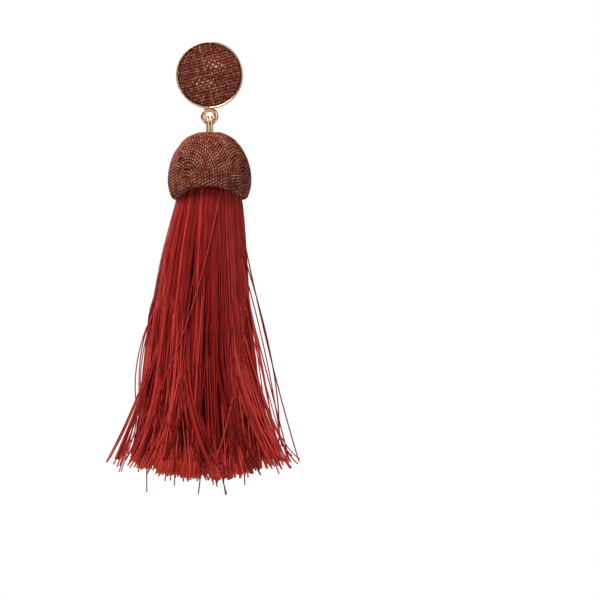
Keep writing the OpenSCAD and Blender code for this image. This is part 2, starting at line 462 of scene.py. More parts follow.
def make_twist_group() -> EffectGroup:
    """Makes the group that draws the plies and fibres of a twisted thread.

    Returns:
        The group, with the thread's map as input and its relief and shade as outputs; the shade is painted
        shade in the grooves between plies, or round a single ply, mixed with fibre tone.
    """
    fibres_round = 26.0
    fibres_per_metre = 900.0
    group = EffectGroup(
        "TwistedPlies",
        {"Along": (0.0, 0.0, 0.0), "Turns Per Metre": 900.0, "Plies": 2.0, "Fibre Share": 0.4},
        ("Height", "Shade"),
    )
    board = group.board
    parts = board.split(group.inputs["Along"])
    turned = board.math("MULTIPLY", parts["Y"], group.inputs["Turns Per Metre"])
    phase = board.math("ADD", parts["X"], turned)
    ply_turn = board.math("MULTIPLY", board.math("MULTIPLY", phase, group.inputs["Plies"]), TURN)
    ply = board.math("MULTIPLY_ADD", board.math("COSINE", ply_turn), 0.5, 0.5)
    fibre_place = board.join(
        board.math("MULTIPLY", phase, fibres_round), board.math("MULTIPLY", parts["Y"], fibres_per_metre)
    )
    fibre = board.noise(fibre_place, 1.0)
    own = board.math("MULTIPLY", fibre, group.inputs["Fibre Share"])
    rest = board.math("MULTIPLY", ply, board.math("SUBTRACT", 1.0, group.inputs["Fibre Share"]))
    board.feed(group.outputs["Height"], board.math("ADD", own, rest))
    # Painted shade in the grooves between plies, with fibre tone.
    half_ply = board.math("MULTIPLY", ply, 0.5)
    board.feed(group.outputs["Shade"], board.math("MULTIPLY_ADD", fibre, 0.5, half_ply))
    return group


def make_mottle_group() -> EffectGroup:
    """Makes the group that varies a finish slowly over the whole piece.

    Returns:
        The group, with a scale and a contrast as inputs and a share from 0 to 1 as output.
    """
    group = EffectGroup("SlowMottle", {"Scale": 200.0, "Contrast": 1.5}, ("Share",))
    board = group.board
    noise = board.noise(board.node("TexCoord").outputs["Object"], group.inputs["Scale"])
    spread = board.math("MULTIPLY_ADD", board.math("SUBTRACT", noise, 0.5), group.inputs["Contrast"], 0.5)
    board.feed(group.outputs["Share"], board.math("MINIMUM", board.math("MAXIMUM", spread, 0.0), 1.0))
    return group


@dataclass(frozen=True)
class Mottle:
    """How fine and how strong one slow change of a finish is."""

    scale: float
    contrast: float


@dataclass
class Effects:
    """The node groups that the finishes share."""

    twist: EffectGroup = field(default_factory=make_twist_group)
    mottle: EffectGroup = field(default_factory=make_mottle_group)

    def vary(self, board: Board, mottle: Mottle) -> Socket:
        """Places a slow change in a material and returns its share."""
        return self.mottle.place(board, Scale=mottle.scale, Contrast=mottle.contrast)["Share"]


def new_material(name: str) -> tuple[Material, Board, Node]:
    """Makes a material with one Principled shader.

    Args:
        name: Name of the material.

    Returns:
        The material, its board and its shader node.
    """
    material = bpy.data.materials.new(name)
    material.use_nodes = True
    return material, Board(material.node_tree), material.node_tree.nodes["Principled BSDF"]


def dress_shader(
    board: Board,
    shader: Node,
    colour: Socket,
    roughness: Socket,
    height: Socket,
    depth: float,
) -> None:
    """Gives a shader its colour, its roughness and a relief of a real depth.

    Args:
        board: The material's board.
        shader: Its shader.
        colour: The colour.
        roughness: The roughness.
        height: The relief, from 0 to 1.
        depth: The relief's depth in metres.
    """
    bump = board.node("Bump")
    bump.inputs["Strength"].default_value = 1.0
    bump.inputs["Distance"].default_value = depth
    board.feed(bump.inputs["Height"], height)
    board.feed(shader.inputs["Base Color"], colour)
    board.feed(shader.inputs["Roughness"], roughness)
    board.feed(shader.inputs["Normal"], bump.outputs["Normal"])


@dataclass(frozen=True)
class MetalFinish:
    """Pale gold plate, polished, with a fine uneven gloss and a slowly changing tint."""

    name: str
    bright: Colour
    deep: Colour
    gloss: Span
    tint: Mottle = Mottle(150.0, 1.2)
    smear: Mottle = Mottle(600.0, 1.6)
    grain_depth: float = 0.0012 * MM

    def build(self, effects: Effects) -> Material:
        """Makes the material.

        Args:
            effects: The shared node groups.

        Returns:
            The material.
        """
        material, board, shader = new_material(self.name)
        colour = board.mix(effects.vary(board, self.tint), self.deep, self.bright)
        smear = effects.vary(board, self.smear)
        shader.inputs["Metallic"].default_value = 1.0
        dress_shader(board, shader, colour, board.span(smear, target=self.gloss), smear, self.grain_depth)
        return material


@dataclass(frozen=True)
class ThreadFinish:
    """Twisted matt thread with plies and fibres, painted shade in its grooves, valleys and flanks, and
    painted glints.
    """

    name: str
    dark: Colour
    light: Colour
    warm: Colour
    # Colour of the painted glints on ply crests and on picked crossings.
    painted_glint: Colour
    turns: float
    relief: float
    patch: Mottle
    glint_share: float
    glint_focus: float = 4.0
    zone: Mottle = Mottle(260.0, 2.6)
    zone_share: float = 0.6
    grain: Mottle = Mottle(1500.0, 3.0)
    grain_depth: float = 0.5
    lot_depth: float = 0.35
    # Painted shade: where a thread dips under a crossing one, and on its flanks.
    valley_shade: float = 0.7
    flank_shade_span: Span = (0.3, 0.95)
    flank_shade: float = 0.6
    roughness: Span = (0.85, 0.55)
    specular: float = 0.15

    def build(self, effects: Effects) -> Material:
        """Makes the material.

        Args:
            effects: The shared node groups.

        Returns:
            The material.
        """
        material, board, shader = new_material(self.name)
        along = board.node("UVMap", uv_map=ALONG_MAP).outputs["UV"]
        plies = effects.twist.place(board, Along=along, Turns_Per_Metre=self.turns)
        lot = board.mark(LOT)
        accent = board.mark(ACCENT)
        zone = effects.vary(board, self.zone)
        grain = effects.vary(board, self.grain)
        patch = effects.vary(board, self.patch)
        # Painted shade in the grooves between plies, with fibre tone.
        plain = board.mix(plies["Shade"], self.dark, self.light)
        warmed = board.mix(board.math("MULTIPLY", zone, self.zone_share), plain, self.warm)
        grained = board.mix(board.math("MULTIPLY", grain, self.grain_depth), warmed, self.dark)
        varied = board.mix(board.math("MULTIPLY", lot, self.lot_depth), grained, self.dark)
        # Painted shade where a thread dips under a crossing one.
        valley_shading = board.span(accent, (0.0, CROWN_TOP), (self.valley_shade, 0.0))
        valley_shaded = board.mix(valley_shading, varied, self.dark)
        # Painted shade on the thread's flanks and underside, away from its top.
        facing = board.math("COSINE", board.math("MULTIPLY_ADD", board.split(along)["X"], TURN, -TURN / 4))
        shaded = board.mix(board.span(facing, self.flank_shade_span, (self.flank_shade, 0.0)), valley_shaded, self.dark)
        # Painted glints: on ply crests in patches, and on the crossings that the accent picks.
        ply_glint = board.math("MULTIPLY", board.math("POWER", plies["Height"], self.glint_focus), patch)
        own_glint = board.span(accent, (CROWN_TOP, 1.0))
        glinted = board.math("MAXIMUM", board.math("MULTIPLY", ply_glint, self.glint_share), own_glint)
        colour = board.mix(glinted, shaded, self.painted_glint)
        roughness = board.span(plies["Shade"], target=self.roughness)
        shader.inputs["Specular IOR Level"].default_value = self.specular
        dress_shader(board, shader, colour, roughness, plies["Height"], self.relief)
        return material


@dataclass(frozen=True)
class FlossFinish:
    """Glossy floss whose strands differ in shade, with streaks along them."""

    name: str
    deep: Colour
    middle: Colour
    bright: Colour
    tip_highlight: Colour
    streak_stretch: float = 0.02
    streak_scale: float = 1500.0
    streak_detail: float = 2.0
    streak: Span = (0.3, 0.7)
    streak_share: float = 0.15
    sheen: Span = (0.3, 0.9)
    sheen_share: float = 0.22
    lot_shift: float = 37.0
    fibre_turns: float = 140.0
    fibre_share: float = 0.8
    gloss_from: Span = (0.2, 0.9)
    gloss: Span = (0.54, 0.36)
    specular: float = 0.12
    relief: float = 0.02 * MM

    def build(self, effects: Effects) -> Material:
        """Makes the material.

        Args:
            effects: The shared node groups.

        Returns:
            The material.
        """
        material, board, shader = new_material(self.name)
        lot = board.mark(LOT)
        moved = board.node("VectorMath", operation="ADD")
        board.feed(moved.inputs[0], board.node("UVMap", uv_map=ALONG_MAP).outputs["UV"])
        board.feed(moved.inputs[1], board.join(board.math("MULTIPLY", lot, self.lot_shift)))
        fibres = effects.twist.place(
            board,
            Along=moved.outputs[0],
            Turns_Per_Metre=self.fibre_turns,
            Plies=1.0,
            Fibre_Share=self.fibre_share,
        )
        drawn_out = board.stretch(board.node("TexCoord").outputs["Object"], (1.0, 1.0, self.streak_stretch))
        streak = board.noise(drawn_out, self.streak_scale, self.streak_detail)
        either_way = board.span(streak, self.streak, (-0.5, 0.5))
        shade = board.math("MULTIPLY_ADD", either_way, self.streak_share, lot)
        dark = board.mix(board.span(shade, (0.0, 0.5)), self.deep, self.middle)
        tone = board.mix(board.span(shade, (0.5, 1.0)), dark, self.bright)
        sheen = board.math("MULTIPLY", board.span(fibres["Shade"], self.sheen), self.sheen_share)
        shining = board.mix(sheen, tone, self.bright)
        # Painted highlight on the cut tips.
        colour = board.mix(board.mark(ACCENT), shining, self.tip_highlight)
        roughness = board.span(fibres["Shade"], self.gloss_from, self.gloss)
        shader.inputs["Specular IOR Level"].default_value = self.specular
        dress_shader(board, shader, colour, roughness, fibres["Height"], self.relief)
        return material


@dataclass(frozen=True)
class PlainFinish:
    """A plain even surface for the studio."""

    name: str
    colour: Colour
    roughness: float = 0.9

    def build(self) -> Material:
        """Makes the material.

        Returns:
            The material.
        """
        material, _, shader = new_material(self.name)
        shader.inputs["Base Color"].default_value = (*self.colour, 1.0)
        shader.inputs["Roughness"].default_value = self.roughness
        return material


@dataclass
class MetalWork:
    """The setting with its loop and post, the two rings and the head pin, kept as the frame has them."""

    gold: MetalFinish = MetalFinish("gold_plate", linear(228, 195, 162), linear(212, 174, 138), (0.2, 0.32))
    plain: MetalFinish = MetalFinish("plain_pin", linear(206, 172, 132), linear(170, 130, 96), (0.3, 0.45))
    gold_nodes: tuple[str, ...] = ("setting", "link_ring_left", "link_ring_right")
    plain_nodes: tuple[str, ...] = ("head_pin",)

    def dress(self, nodes: dict[str, Piece], effects: Effects) -> list[Piece]:
        """Gives each metal node its finish.

        Args:
            nodes: The frame's objects, by name.
            effects: The shared node groups.

        Returns:
            The dressed objects.
        """
        for finish, names in ((self.gold, self.gold_nodes), (self.plain, self.plain_nodes)):
            material = finish.build(effects)
            for name in names:
                nodes[name].data.materials.clear()
                nodes[name].data.materials.append(material)
        return [nodes[name] for name in self.gold_nodes + self.plain_nodes]


class FibreWork:
    """What the made parts share: a finish, a seed, and the frame's node that their pieces replace."""

    node: ClassVar[str]
    body: ClassVar[Body]
    slot: ClassVar[Slot]
    finish: ThreadFinish | FlossFinish
    seed: int

    def pieces(self, material: Material, rng: Chance) -> list[Piece]:
        """Makes the part's pieces.

        Args:
            material: The part's material.
            rng: The source of small differences.

        Returns:
            The pieces.
        """
        raise NotImplementedError

    def build(self, effects: Effects) -> list[Piece]:
        """Makes the pieces, says what they ride on, and hides the frame's node that they replace.

        Args:
            effects: The shared node groups.

        Returns:
            The pieces.
        """
        made = self.pieces(self.finish.build(effects), np.random.default_rng(self.seed))
        for piece in made:
            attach(piece, self.body.value)
            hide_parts(self.node)
        return made


@dataclass(frozen=True)
class GlintPatch:
    """A patch of the weave whose crossings get painted glints: middle and half sizes in mm, and turn in
    degrees.
    """

    middle: tuple[float, float]
    half_long: float
    half_wide: float
    turn: float


@dataclass
class WovenButton(FibreWork):
    """The padded disc of coarse plain weave, in yarns that pass over and under each other."""

    node: ClassVar[str] = "cloth_button"
    body: ClassVar[Body] = Body.STUD
    slot: ClassVar[Slot] = Slot.CLOTH
    low: Vector
    high: Vector
    yarn_pitch: float = 0.65 * MM
    yarn_fill: float = 0.94
    edge_tuck: float = 0.6
    weave_rise: float = 0.2 * MM
    weave_turn: float = math.radians(15)
    step_length: float = 0.08 * MM
    edge_round: float = 0.35 * MM
    swell: float = 0.5 * MM
    # Each yarn drifts aside by a share of the pitch, in waves so dense over the button's radius.
    drifts: tuple[Span, ...] = ((0.08, 9.0), (0.05, 23.0))
    sag_mm: Span = (-0.04, 0.06)
    uneven: float = 0.1
    uneven_waves: float = 2.3
    thickness: Span = (-0.12, 0.08)
    ply_lobe: float = 0.06
    # Crowns set the painted shade of the dips between them; the first set's crowns are dimmed, for more
    # painted shade on that set.
    crown_scatter: float = 0.55
    crown_focus: float = 2.0
    first_set_crown_light: float = 0.45
    sides: int = 7
    # Painted glints on the crossings of the second set, within the patches.
    glint_strength: float = 0.6
    glint_least: float = 0.3
    glint_focus: float = 8.0
    patches: tuple[GlintPatch, ...] = (
        GlintPatch((1.3, 2.0), 2.6, 1.1, -22.0),
        GlintPatch((-0.9, -1.9), 2.7, 1.2, -12.0),
    )
    pad_sink: float = 1.3
    pad_rings: int = 24
    pad_steps: int = 96
    pad_edge: float = 0.1 * MM
    seed: int = 5
    finish: ThreadFinish = ThreadFinish(
        "button_yarn",
        dark=linear(56, 15, 8),
        light=linear(138, 53, 37),
        warm=linear(142, 55, 24),
        painted_glint=linear(244, 200, 172),
        turns=330.0,
        relief=0.04 * MM,
        patch=Mottle(900.0, 4.5),
        glint_share=0.25,
        glint_focus=3.0,
        lot_depth=0.4,
        flank_shade=0.5,
    )

    @classmethod
    def from_frame(cls) -> "WovenButton":
        """Takes the button's place from the frame."""
        return cls(*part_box(cls.node))

    @property
    def radius(self) -> float:
        """Radius of the button."""
        return (self.high.x - self.low.x) / 2

    @property
    def centre(self) -> Vector:
        """The middle of the button's front."""
        return Vector(((self.low.x + self.high.x) / 2, self.low.y, (self.low.z + self.high.z) / 2))

    def face(self, from_middle: Array) -> Array:
        """Depth of the cloth's face behind its highest point.

        Args:
            from_middle: Distance from the middle of the button.

        Returns:
            The depth, which grows fast where the cloth rounds over the edge.
        """
        share = np.clip(from_middle / self.radius, 0.0, 1.0)
        rounding = np.clip(from_middle - (self.radius - self.edge_round), 0.0, self.edge_round)
        drop = self.edge_round - np.sqrt(np.maximum(self.edge_round**2 - rounding**2, 0.0))
        return self.swell * share**2 + drop

    def add_yarns(self, tubes: TubeMesh, turn: float, over: int, rng: Chance) -> None:
        """Adds one set of side by side yarns.

        Args:
            tubes: The mesh that they go into.
            turn: Angle of the yarns in the button's face.
            over: 0 or 1, which of the two sets this is.
            rng: The source of small differences.
        """
        count = int(self.radius / self.yarn_pitch)
        yarn_r = self.yarn_pitch / 2 * self.yarn_fill
        reach = self.radius - yarn_r * self.edge_tuck
        along = np.array([math.cos(turn), math.sin(turn)])
        aside = np.array([-along[1], along[0]])
        for i in range(-count, count + 1):
            offset = i * self.yarn_pitch
            half = math.sqrt(max(reach**2 - offset**2, 0.0))
            if half < 2 * self.yarn_pitch:
                continue
            steps = int(2 * half / self.step_length) + 2
            run = np.linspace(-half, half, steps)
            drift = sum(size * ripple(run / self.radius, waves, rng) for size, waves in self.drifts)
            flat = run[:, None] * along + (offset + self.yarn_pitch * drift)[:, None] * aside
            place = run / self.yarn_pitch + i + over
            wave = np.cos(math.pi * place)
            sag = rng.uniform(*self.sag_mm) * MM
            depth = self.face(np.hypot(flat[:, 0], flat[:, 1])) + yarn_r + sag - self.weave_rise * (wave - 1)
            path = points_of(self.centre.x + flat[:, 0], self.centre.y + depth, self.centre.z + flat[:, 1])
            outward = np.tile([0.0, -1.0, 0.0], (1, steps, 1))
            lots = rng.uniform(0, 1, 1)
            uneven = self.uneven * ripple(run / self.yarn_pitch, self.uneven_waves, rng)
            radii = yarn_r * (1 + (uneven + rng.uniform(*self.thickness)))
            # Crowns stay light and dips take painted shade; the second set gets painted glints and the first
            # set more painted shade.
            scatter = 1 - self.crown_scatter * self.crossing_luck(place, rng)
            crowns = (((wave + 1) / 2) ** self.crown_focus * scatter)[None] * CROWN_TOP
            if over:
                shine = self.glints(flat, place, wave, rng)[None]
                crowns = np.where(shine > 0, CROWN_TOP + (1 - CROWN_TOP) * shine, crowns)
            else:
                crowns = crowns * self.first_set_crown_light
            tubes.add(path[None], outward, radii[None], lots, crowns, self.ply_lobe, self.finish.turns)

    @staticmethod
    def crossing_luck(place: Array, rng: Chance) -> Array:
        """Draws one number from 0 to 1 for each crossing on top, and gives it to the yarn's points there.

        Args:
            place: Place along the yarn, counted in crossings.
            rng: The source of chance.

        Returns:
            The number at each point.
        """
        crossing = np.rint(place / 2).astype(int)
        return rng.uniform(0, 1, crossing.max() - crossing.min() + 1)[crossing - crossing.min()]

    def glints(self, flat: Array, place: Array, wave: Array, rng: Chance) -> Array:
        """Picks the crossings of a yarn that get a painted glint, in the patches over the middle of the
        button.

        Args:
            flat: The yarn's points in the button's face.
            place: Place along the yarn, counted in crossings.
            wave: How high the yarn lies, from -1 to 1.
            rng: The source of chance.

        Returns:
            How strong the painted glint is at each point, from 0 to 1.
        """
        near = np.zeros(len(flat))
        for patch in self.patches:
            turn = math.radians(patch.turn)
            off = flat / MM - patch.middle
            along = off @ np.array([math.cos(turn), math.sin(turn)]) / patch.half_long
            across = off @ np.array([-math.sin(turn), math.cos(turn)]) / patch.half_wide
            near = np.maximum(near, np.exp(-((along**2 + across**2) ** 2)))
        luck = self.glint_least + (1 - self.glint_least) * self.crossing_luck(place, rng)
        return self.glint_strength * luck * near * np.maximum(wave, 0.0) ** self.glint_focus

    def bed_mesh(self) -> Mesh:
        """Makes the closed pad under the yarns, turned about the button's axis.

        Returns:
            The mesh.
        """
        steps = self.pad_steps
        sink = self.yarn_pitch * self.pad_sink
        radii = self.radius * np.sin(np.linspace(0, math.pi / 2, self.pad_rings + 1))[1:]
        fronts = np.minimum(self.centre.y + self.face(radii) + sink, self.high.y - self.pad_edge)
        turn = np.arange(steps) / steps * TURN
        points = [(self.centre.x, self.centre.y + sink, self.centre.z)]
        for r, y in [*zip(radii, fronts), (self.radius, self.high.y)]:
            points += [(self.centre.x + r * math.cos(t), y, self.centre.z + r * math.sin(t)) for t in turn]
        faces = [(0, 1 + (k + 1) % steps, 1 + k) for k in range(steps)]
        for row in range(self.pad_rings):
            a, b = 1 + row * steps, 1 + (row + 1) * steps
            faces += [(a + k, a + (k + 1) % steps, b + (k + 1) % steps, b + k) for k in range(steps)]
        faces.append(tuple(1 + self.pad_rings * steps + k for k in range(steps)))
        mesh = bpy.data.meshes.new("button_pad")
        mesh.from_pydata(points, [], faces)
        mesh.update()
        return mesh

    def pieces(self, material: Material, rng: Chance) -> list[Piece]:
        """Makes the woven cloth and the pad under it.

        Args:
            material: The yarn.
            rng: The source of small differences.

        Returns:
            The pieces.
        """
        tubes = TubeMesh(self.sides)
        for over in (0, 1):
            self.add_yarns(tubes, self.weave_turn + over * math.pi / 2, over, rng)
        # The pad has no accent mark, so the yarn's material gives it the painted shade of a valley all over.
        return [tubes.build("button_weave", material), add_object("button_pad", self.bed_mesh(), material)]


@dataclass(frozen=True)
class WindingPole:
    """A point that rows of wound thread circle: its heading from the front and its height, in degrees."""

    heading: float
    height: float


@dataclass
class WoundCap(FibreWork):
    """The dome of wound thread: a wall, and rows of twisted thread that circle four poles near its edge."""

    node: ClassVar[str] = "wound_cap"
    body: ClassVar[Body] = Body.TASSEL
    slot: ClassVar[Slot] = Slot.THREAD
    low: Vector
    high: Vector
    belly_rise: float = 4.1 * MM
    tuck: float = 1.0 * MM
    arch_rise: float = 2.7 * MM
    wall: float = 1.5 * MM
    hem_wall: float = 0.9 * MM
    mouth: float = 1.9 * MM
    thread_pitch: float = 0.67 * MM
    thread_r: float = 0.32 * MM
    bed: float = 0.2 * MM
    step_length: float = 0.16 * MM
    lobe: float = 0.28
    lip_arc: float = 0.58 * MM
    lip_turn: float = 0.05
    top_from: float = 0.7
    top_sink: float = 0.3 * MM
    # Rows are laid out on a ball, whose size is given over the cap's, up to an angle from their pole.
    ball: float = 1.08
    row_reach: float = math.radians(118)
    row_stretch: float = 1.1
    row_least: int = 24
    row_shift: float = 0.02
    wander: float = 0.08
    wander_waves: float = 3.0
    uneven: float = 0.06
    uneven_waves: float = 7.0
    sink_mm: Span = (-0.03, 0.03)
    # The seam with the next pole's rows lies at the angle called lead. Rows dive under at both seams,
    # over the spans of distance given here, and end a little past them.
    lead: float = math.radians(68)
    next_dive: Span = (0.3 * MM, -0.7 * MM)
    last_dive: Span = (0.1 * MM, -0.4 * MM)
    next_end: float = -1.7 * MM
    last_end: float = -0.5 * MM
    seam_scatter: float = 0.9 * MM
    dive: float = 2.0
    hem_reach: float = 2.2 * MM
    mouth_end: float = math.radians(86)
    shortest: int = 6
    wall_steps: int = 128
    wall_rows: int = 22
    wall_sink: float = 0.12 * MM
    wall_thinning: float = 0.5 * MM
    wall_drop: float = 0.6
    sides: int = 8
    seed: int = 17
    poles: tuple[WindingPole, ...] = (
        WindingPole(-33.0, -1.0),
        WindingPole(58.0, -6.0),
        WindingPole(150.0, 3.0),
        WindingPole(240.0, 0.0),
    )
    finish: ThreadFinish = ThreadFinish(
        "cap_thread",
        dark=linear(42, 11, 7),
        light=linear(124, 45, 31),
        warm=linear(129, 47, 22),
        painted_glint=linear(236, 166, 132),
        turns=720.0,
        relief=0.09 * MM,
        patch=Mottle(700.0, 4.5),
        glint_share=0.9,
        valley_shade=0.9,
        flank_shade=0.75,
    )

    def __post_init__(self) -> None:
        """Works out the cap's outline from its sizes."""
        self.radius = (self.high.x - self.low.x) / 2
        self.axis = Vector(((self.low.x + self.high.x) / 2, (self.low.y + self.high.y) / 2, 0.0))
        self.belly_z = self.low.z + self.belly_rise
        crest = self.mouth + self.wall / 2
        self.dome = (self.high.z - self.belly_z) / math.sqrt(1 - (crest / self.radius) ** 2)
        self.top_angle = math.acos(crest / self.radius)
        self.top_normal = math.atan2(
            math.sin(self.top_angle) / self.dome, math.cos(self.top_angle) / self.radius
        )
        self.tuck_arc = (self.tuck**2 + self.belly_rise**2) / (2 * self.tuck)
        self.edge_r = self.radius - self.tuck
        self.arch_arc = (self.edge_r**2 + self.arch_rise**2) / (2 * self.arch_rise)

    @classmethod
    def from_frame(cls) -> "WoundCap":
        """Takes the cap's place from the frame."""
        return cls(*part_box(cls.node))

    def edge_height(self, heading: Array) -> Array:
        """Height of the wall's arched lower edge, at an angle round the cap's axis from +X."""
        aside = np.minimum(np.abs(self.edge_r * np.cos(heading)), self.arch_arc)
        return self.low.z + self.arch_rise - self.arch_arc + np.sqrt(self.arch_arc**2 - aside**2)

    def outline(self, angle: Array) -> Array:
        """The cap's outside in one upright plane.

        Args:
            angle: Angle above the belly, in the ball that the cap is worked out from.

        Returns:
            Radius and height of each point, over the lip and into the mouth where the angle passes the top.
        """
        over = np.maximum(angle - self.top_angle, 0.0) * self.radius / self.lip_arc
        turn = np.minimum(over, math.pi - self.top_normal)
        facing = self.top_normal + turn
        held = np.clip(angle, 0.0, self.top_angle)
        down = self.radius * np.minimum(angle, 0.0)
        dome_r = self.radius * np.cos(held)
        tucked = self.radius - self.tuck_arc + np.sqrt(np.maximum(self.tuck_arc**2 - down**2, 0.0))
        r = np.where(angle > 0, dome_r, tucked) + self.lip_arc * (np.cos(facing) - math.cos(self.top_normal))
        z = self.belly_z + self.dome * np.sin(held) + down
        z = z + self.lip_arc * (np.sin(facing) - math.sin(self.top_normal)) - self.lip_arc * (over - turn)
        return points_of(r, z)

    def surface(self, heading: Array, angle: Array, sink: Array) -> tuple[Array, Array]:
        """Points a little under the cap's skin, carried round the edge where they pass it.

        Args:
            heading: Angle round the cap's axis, from +X.
            angle: Angle above the belly.
            sink: Depth under the skin.

        Returns:
            The points, and the outward direction at each.
        """
        nudge = 0.002
        place = self.outline(angle)
        slope = unit(self.outline(angle - nudge) - self.outline(angle + nudge))
        normal = points_of(-slope[..., 1], slope[..., 0])
        hem = self.hem_wall / 2 + self.bed
        brink = self.edge_height(heading) + hem - self.bed
        past = np.maximum(brink - place[..., 1], 0.0)
        roll = np.minimum(past / hem, math.pi)
        held = points_of(place[..., 0], np.maximum(place[..., 1], brink))
        swung = points_of(np.cos(roll), -np.sin(roll))
        rounded = held - np.array([hem, 0.0]) + swung * hem
        rounded[..., 1] += np.maximum(past - math.pi * hem, 0.0)
        rolls = (past > 0)[..., None]
        facing = np.where(rolls, swung, normal)
        spot = np.where(rolls, rounded, held) - facing * sink[..., None]
        return self.lift(spot, heading), self.lift(facing, heading) - np.array(self.axis)

    def lift(self, flat: Array, heading: Array) -> Array:
        """Turns places in one upright plane into points of the row frame.

        Args:
            flat: Radius and height of each.
            heading: Angle round the cap's axis, from +X.

        Returns:
            The points.
        """
        reach = flat[..., 0]
        return points_of(
            self.axis.x + reach * np.cos(heading), self.axis.y + reach * np.sin(heading), flat[..., 1]
        )

    def add_rows(self, tubes: TubeMesh, index: int, rng: Chance) -> None:
        """Adds the rows of thread that circle one pole, where they lie on top.

        Args:
            tubes: The mesh that they go into.
            index: Number of the pole.
            rng: The source of small differences.
        """
        pole = self.poles[index]
        before = self.poles[index - 1]
        front = -90.0
        heading = math.radians(pole.heading + front)
        height = math.radians(pole.height)
        towards = np.array(
            [math.cos(height) * math.cos(heading), math.cos(height) * math.sin(heading), math.sin(height)]
        )
        side = unit(np.cross([0.0, 0.0, 1.0], towards))
        up = np.cross(towards, side)
        last_lead = math.radians(before.heading - pole.heading) + self.lead
        last_lead = (last_lead + math.pi) % TURN - math.pi
        pitch = self.thread_pitch / (self.radius * self.ball)
        for row in range(int(self.row_reach / pitch)):
            out = (row + 0.5) * pitch
            length = TURN * math.sin(out) * self.radius * self.row_stretch
            steps = max(self.row_least, int(length / self.step_length))
            turn = np.linspace(-math.pi, math.pi, steps) + rng.uniform(-self.row_shift, self.row_shift)
            wander = out + pitch * self.wander * ripple(turn, self.wander_waves, rng)
            ball = (
                np.cos(wander)[:, None] * towards
                + (np.sin(wander) * np.sin(turn))[:, None] * side
                + (np.sin(wander) * np.cos(turn))[:, None] * up
            )
            spot_angle = np.arcsin(np.clip(ball[:, 2], -1.0, 1.0))
            spot_heading = np.arctan2(ball[:, 1], ball[:, 0])
            ahead = (spot_heading - heading + math.pi) % TURN - math.pi
            belt = np.cos(spot_angle) * self.radius
            to_next = (self.lead - ahead) * belt
            to_last = (ahead - last_lead) * belt + rng.uniform(-1, 1) * self.seam_scatter
            under = np.maximum(smooth_step(*self.next_dive, to_next), smooth_step(*self.last_dive, to_last))
            top = smooth_step(self.top_from * self.top_angle, self.top_angle, spot_angle)
            sink = self.bed + self.dive * self.thread_r * under + self.top_sink * top
            sink = sink + rng.uniform(*self.sink_mm) * MM
            kept = (to_next > self.next_end) & (to_last > self.last_end)
            kept &= self.outline(spot_angle)[:, 1] > self.edge_height(spot_heading) - self.hem_reach
            kept &= spot_angle < self.mouth_end
            for run in self.runs(kept):
                points, outward = self.surface(spot_heading[run], spot_angle[run], sink[run])
                waves = ripple(np.linspace(0, self.uneven_waves, len(run)), 1.0, rng)
                radii = self.thread_r * (1 + self.uneven * waves)
                lots = rng.uniform(0, 1, 1)
                crowns = np.full((1, len(run)), CROWN_TOP)
                turns = self.finish.turns
                tubes.add(points[None], outward[None], radii[None], lots, crowns, self.lobe, turns)

    def runs(self, kept: Array) -> list[Array]:
        """Splits a row into its kept stretches.

        Args:
            kept: Whether each point stays.

        Returns:
            The numbers of the points of each stretch that is long enough to show.
        """
        numbers = np.flatnonzero(kept)
        parts = np.split(numbers, np.flatnonzero(np.diff(numbers) > 1) + 1)
        return [part for part in parts if len(part) >= self.shortest]

    def wall_mesh(self) -> Mesh:
        """Makes the closed wall under the thread, whose lower edge follows the arch.

        Returns:
            The mesh.
        """
        steps = self.wall_steps
        heading = np.arange(steps) / steps * TURN
        lowest = ((self.edge_height(heading) - self.belly_z) / self.radius)[:, None]
        angle = lowest + (self.top_angle + self.lip_turn - lowest) * np.linspace(0, 1, self.wall_rows)
        outer = self.outline(angle)
        outer[..., 0] -= self.bed + self.wall_sink
        outer[..., 1] -= np.where(angle > self.top_from * self.top_angle, self.bed + self.top_sink, 0.0)
        inner = outer[:, ::-1].copy()
        thick = np.linspace(self.wall, self.hem_wall, self.wall_rows) - self.wall_thinning
        inner[..., 0] = np.maximum(inner[..., 0] - thick, self.mouth)
        inner[..., 1] -= np.linspace(self.wall_drop, 0.0, self.wall_rows) * MM
        points = self.lift(np.concatenate([outer, inner], axis=1), heading[:, None])
        count = 2 * self.wall_rows
        step, row = np.meshgrid(np.arange(steps), np.arange(count), indexing="ij")
        here = step * count
        beside = (step + 1) % steps * count
        above = (row + 1) % count
        faces = points_of(here + row, here + above, beside + above, beside + row).reshape(-1, 4)
        mesh = bpy.data.meshes.new("cap_wall")
        mesh.from_pydata(points.reshape(-1, 3), [], faces.tolist())
        mesh.polygons.foreach_set("use_smooth", np.ones(len(faces), dtype=bool))
        mesh.update()
        return mesh

    def pieces(self, material: Material, rng: Chance) -> list[Piece]:
        """Makes the wound thread and the wall under it.

        Args:
            material: The thread.
            rng: The source of small differences.

        Returns:
            The pieces.
        """
        tubes = TubeMesh(self.sides)
        for index in range(len(self.poles)):
            self.add_rows(tubes, index, rng)
        # The wall has no accent mark, so the thread's material gives it the painted shade of a valley all
        # over.
        return [tubes.build("cap_windings", material), add_object("cap_wall", self.wall_mesh(), material)]


@dataclass(frozen=True)
class SkirtRow:
    """How far the fringe has spread at a share of its way down, as shares of its spread past the edge."""

    down: float
    left: float
    right: float
    deep: float


@dataclass(frozen=True)
class LaidLock:
    """A bundle of strands that lies over the others: its start, middle and end from the front, in mm."""

    start: tuple[float, float]
    middle: tuple[float, float]
    end: tuple[float, float]
    strands: int = 1
    spread: float = 0.0
    lift: float = 0.15
    shade: float = 0.7
    rise: float = 0.4


@dataclass(frozen=True)
class Slit:
    """A narrow opening through the skirt: its place from side to side, top, bottom and half width."""

    across: float
    top: float
    bottom: float
    half_width: float


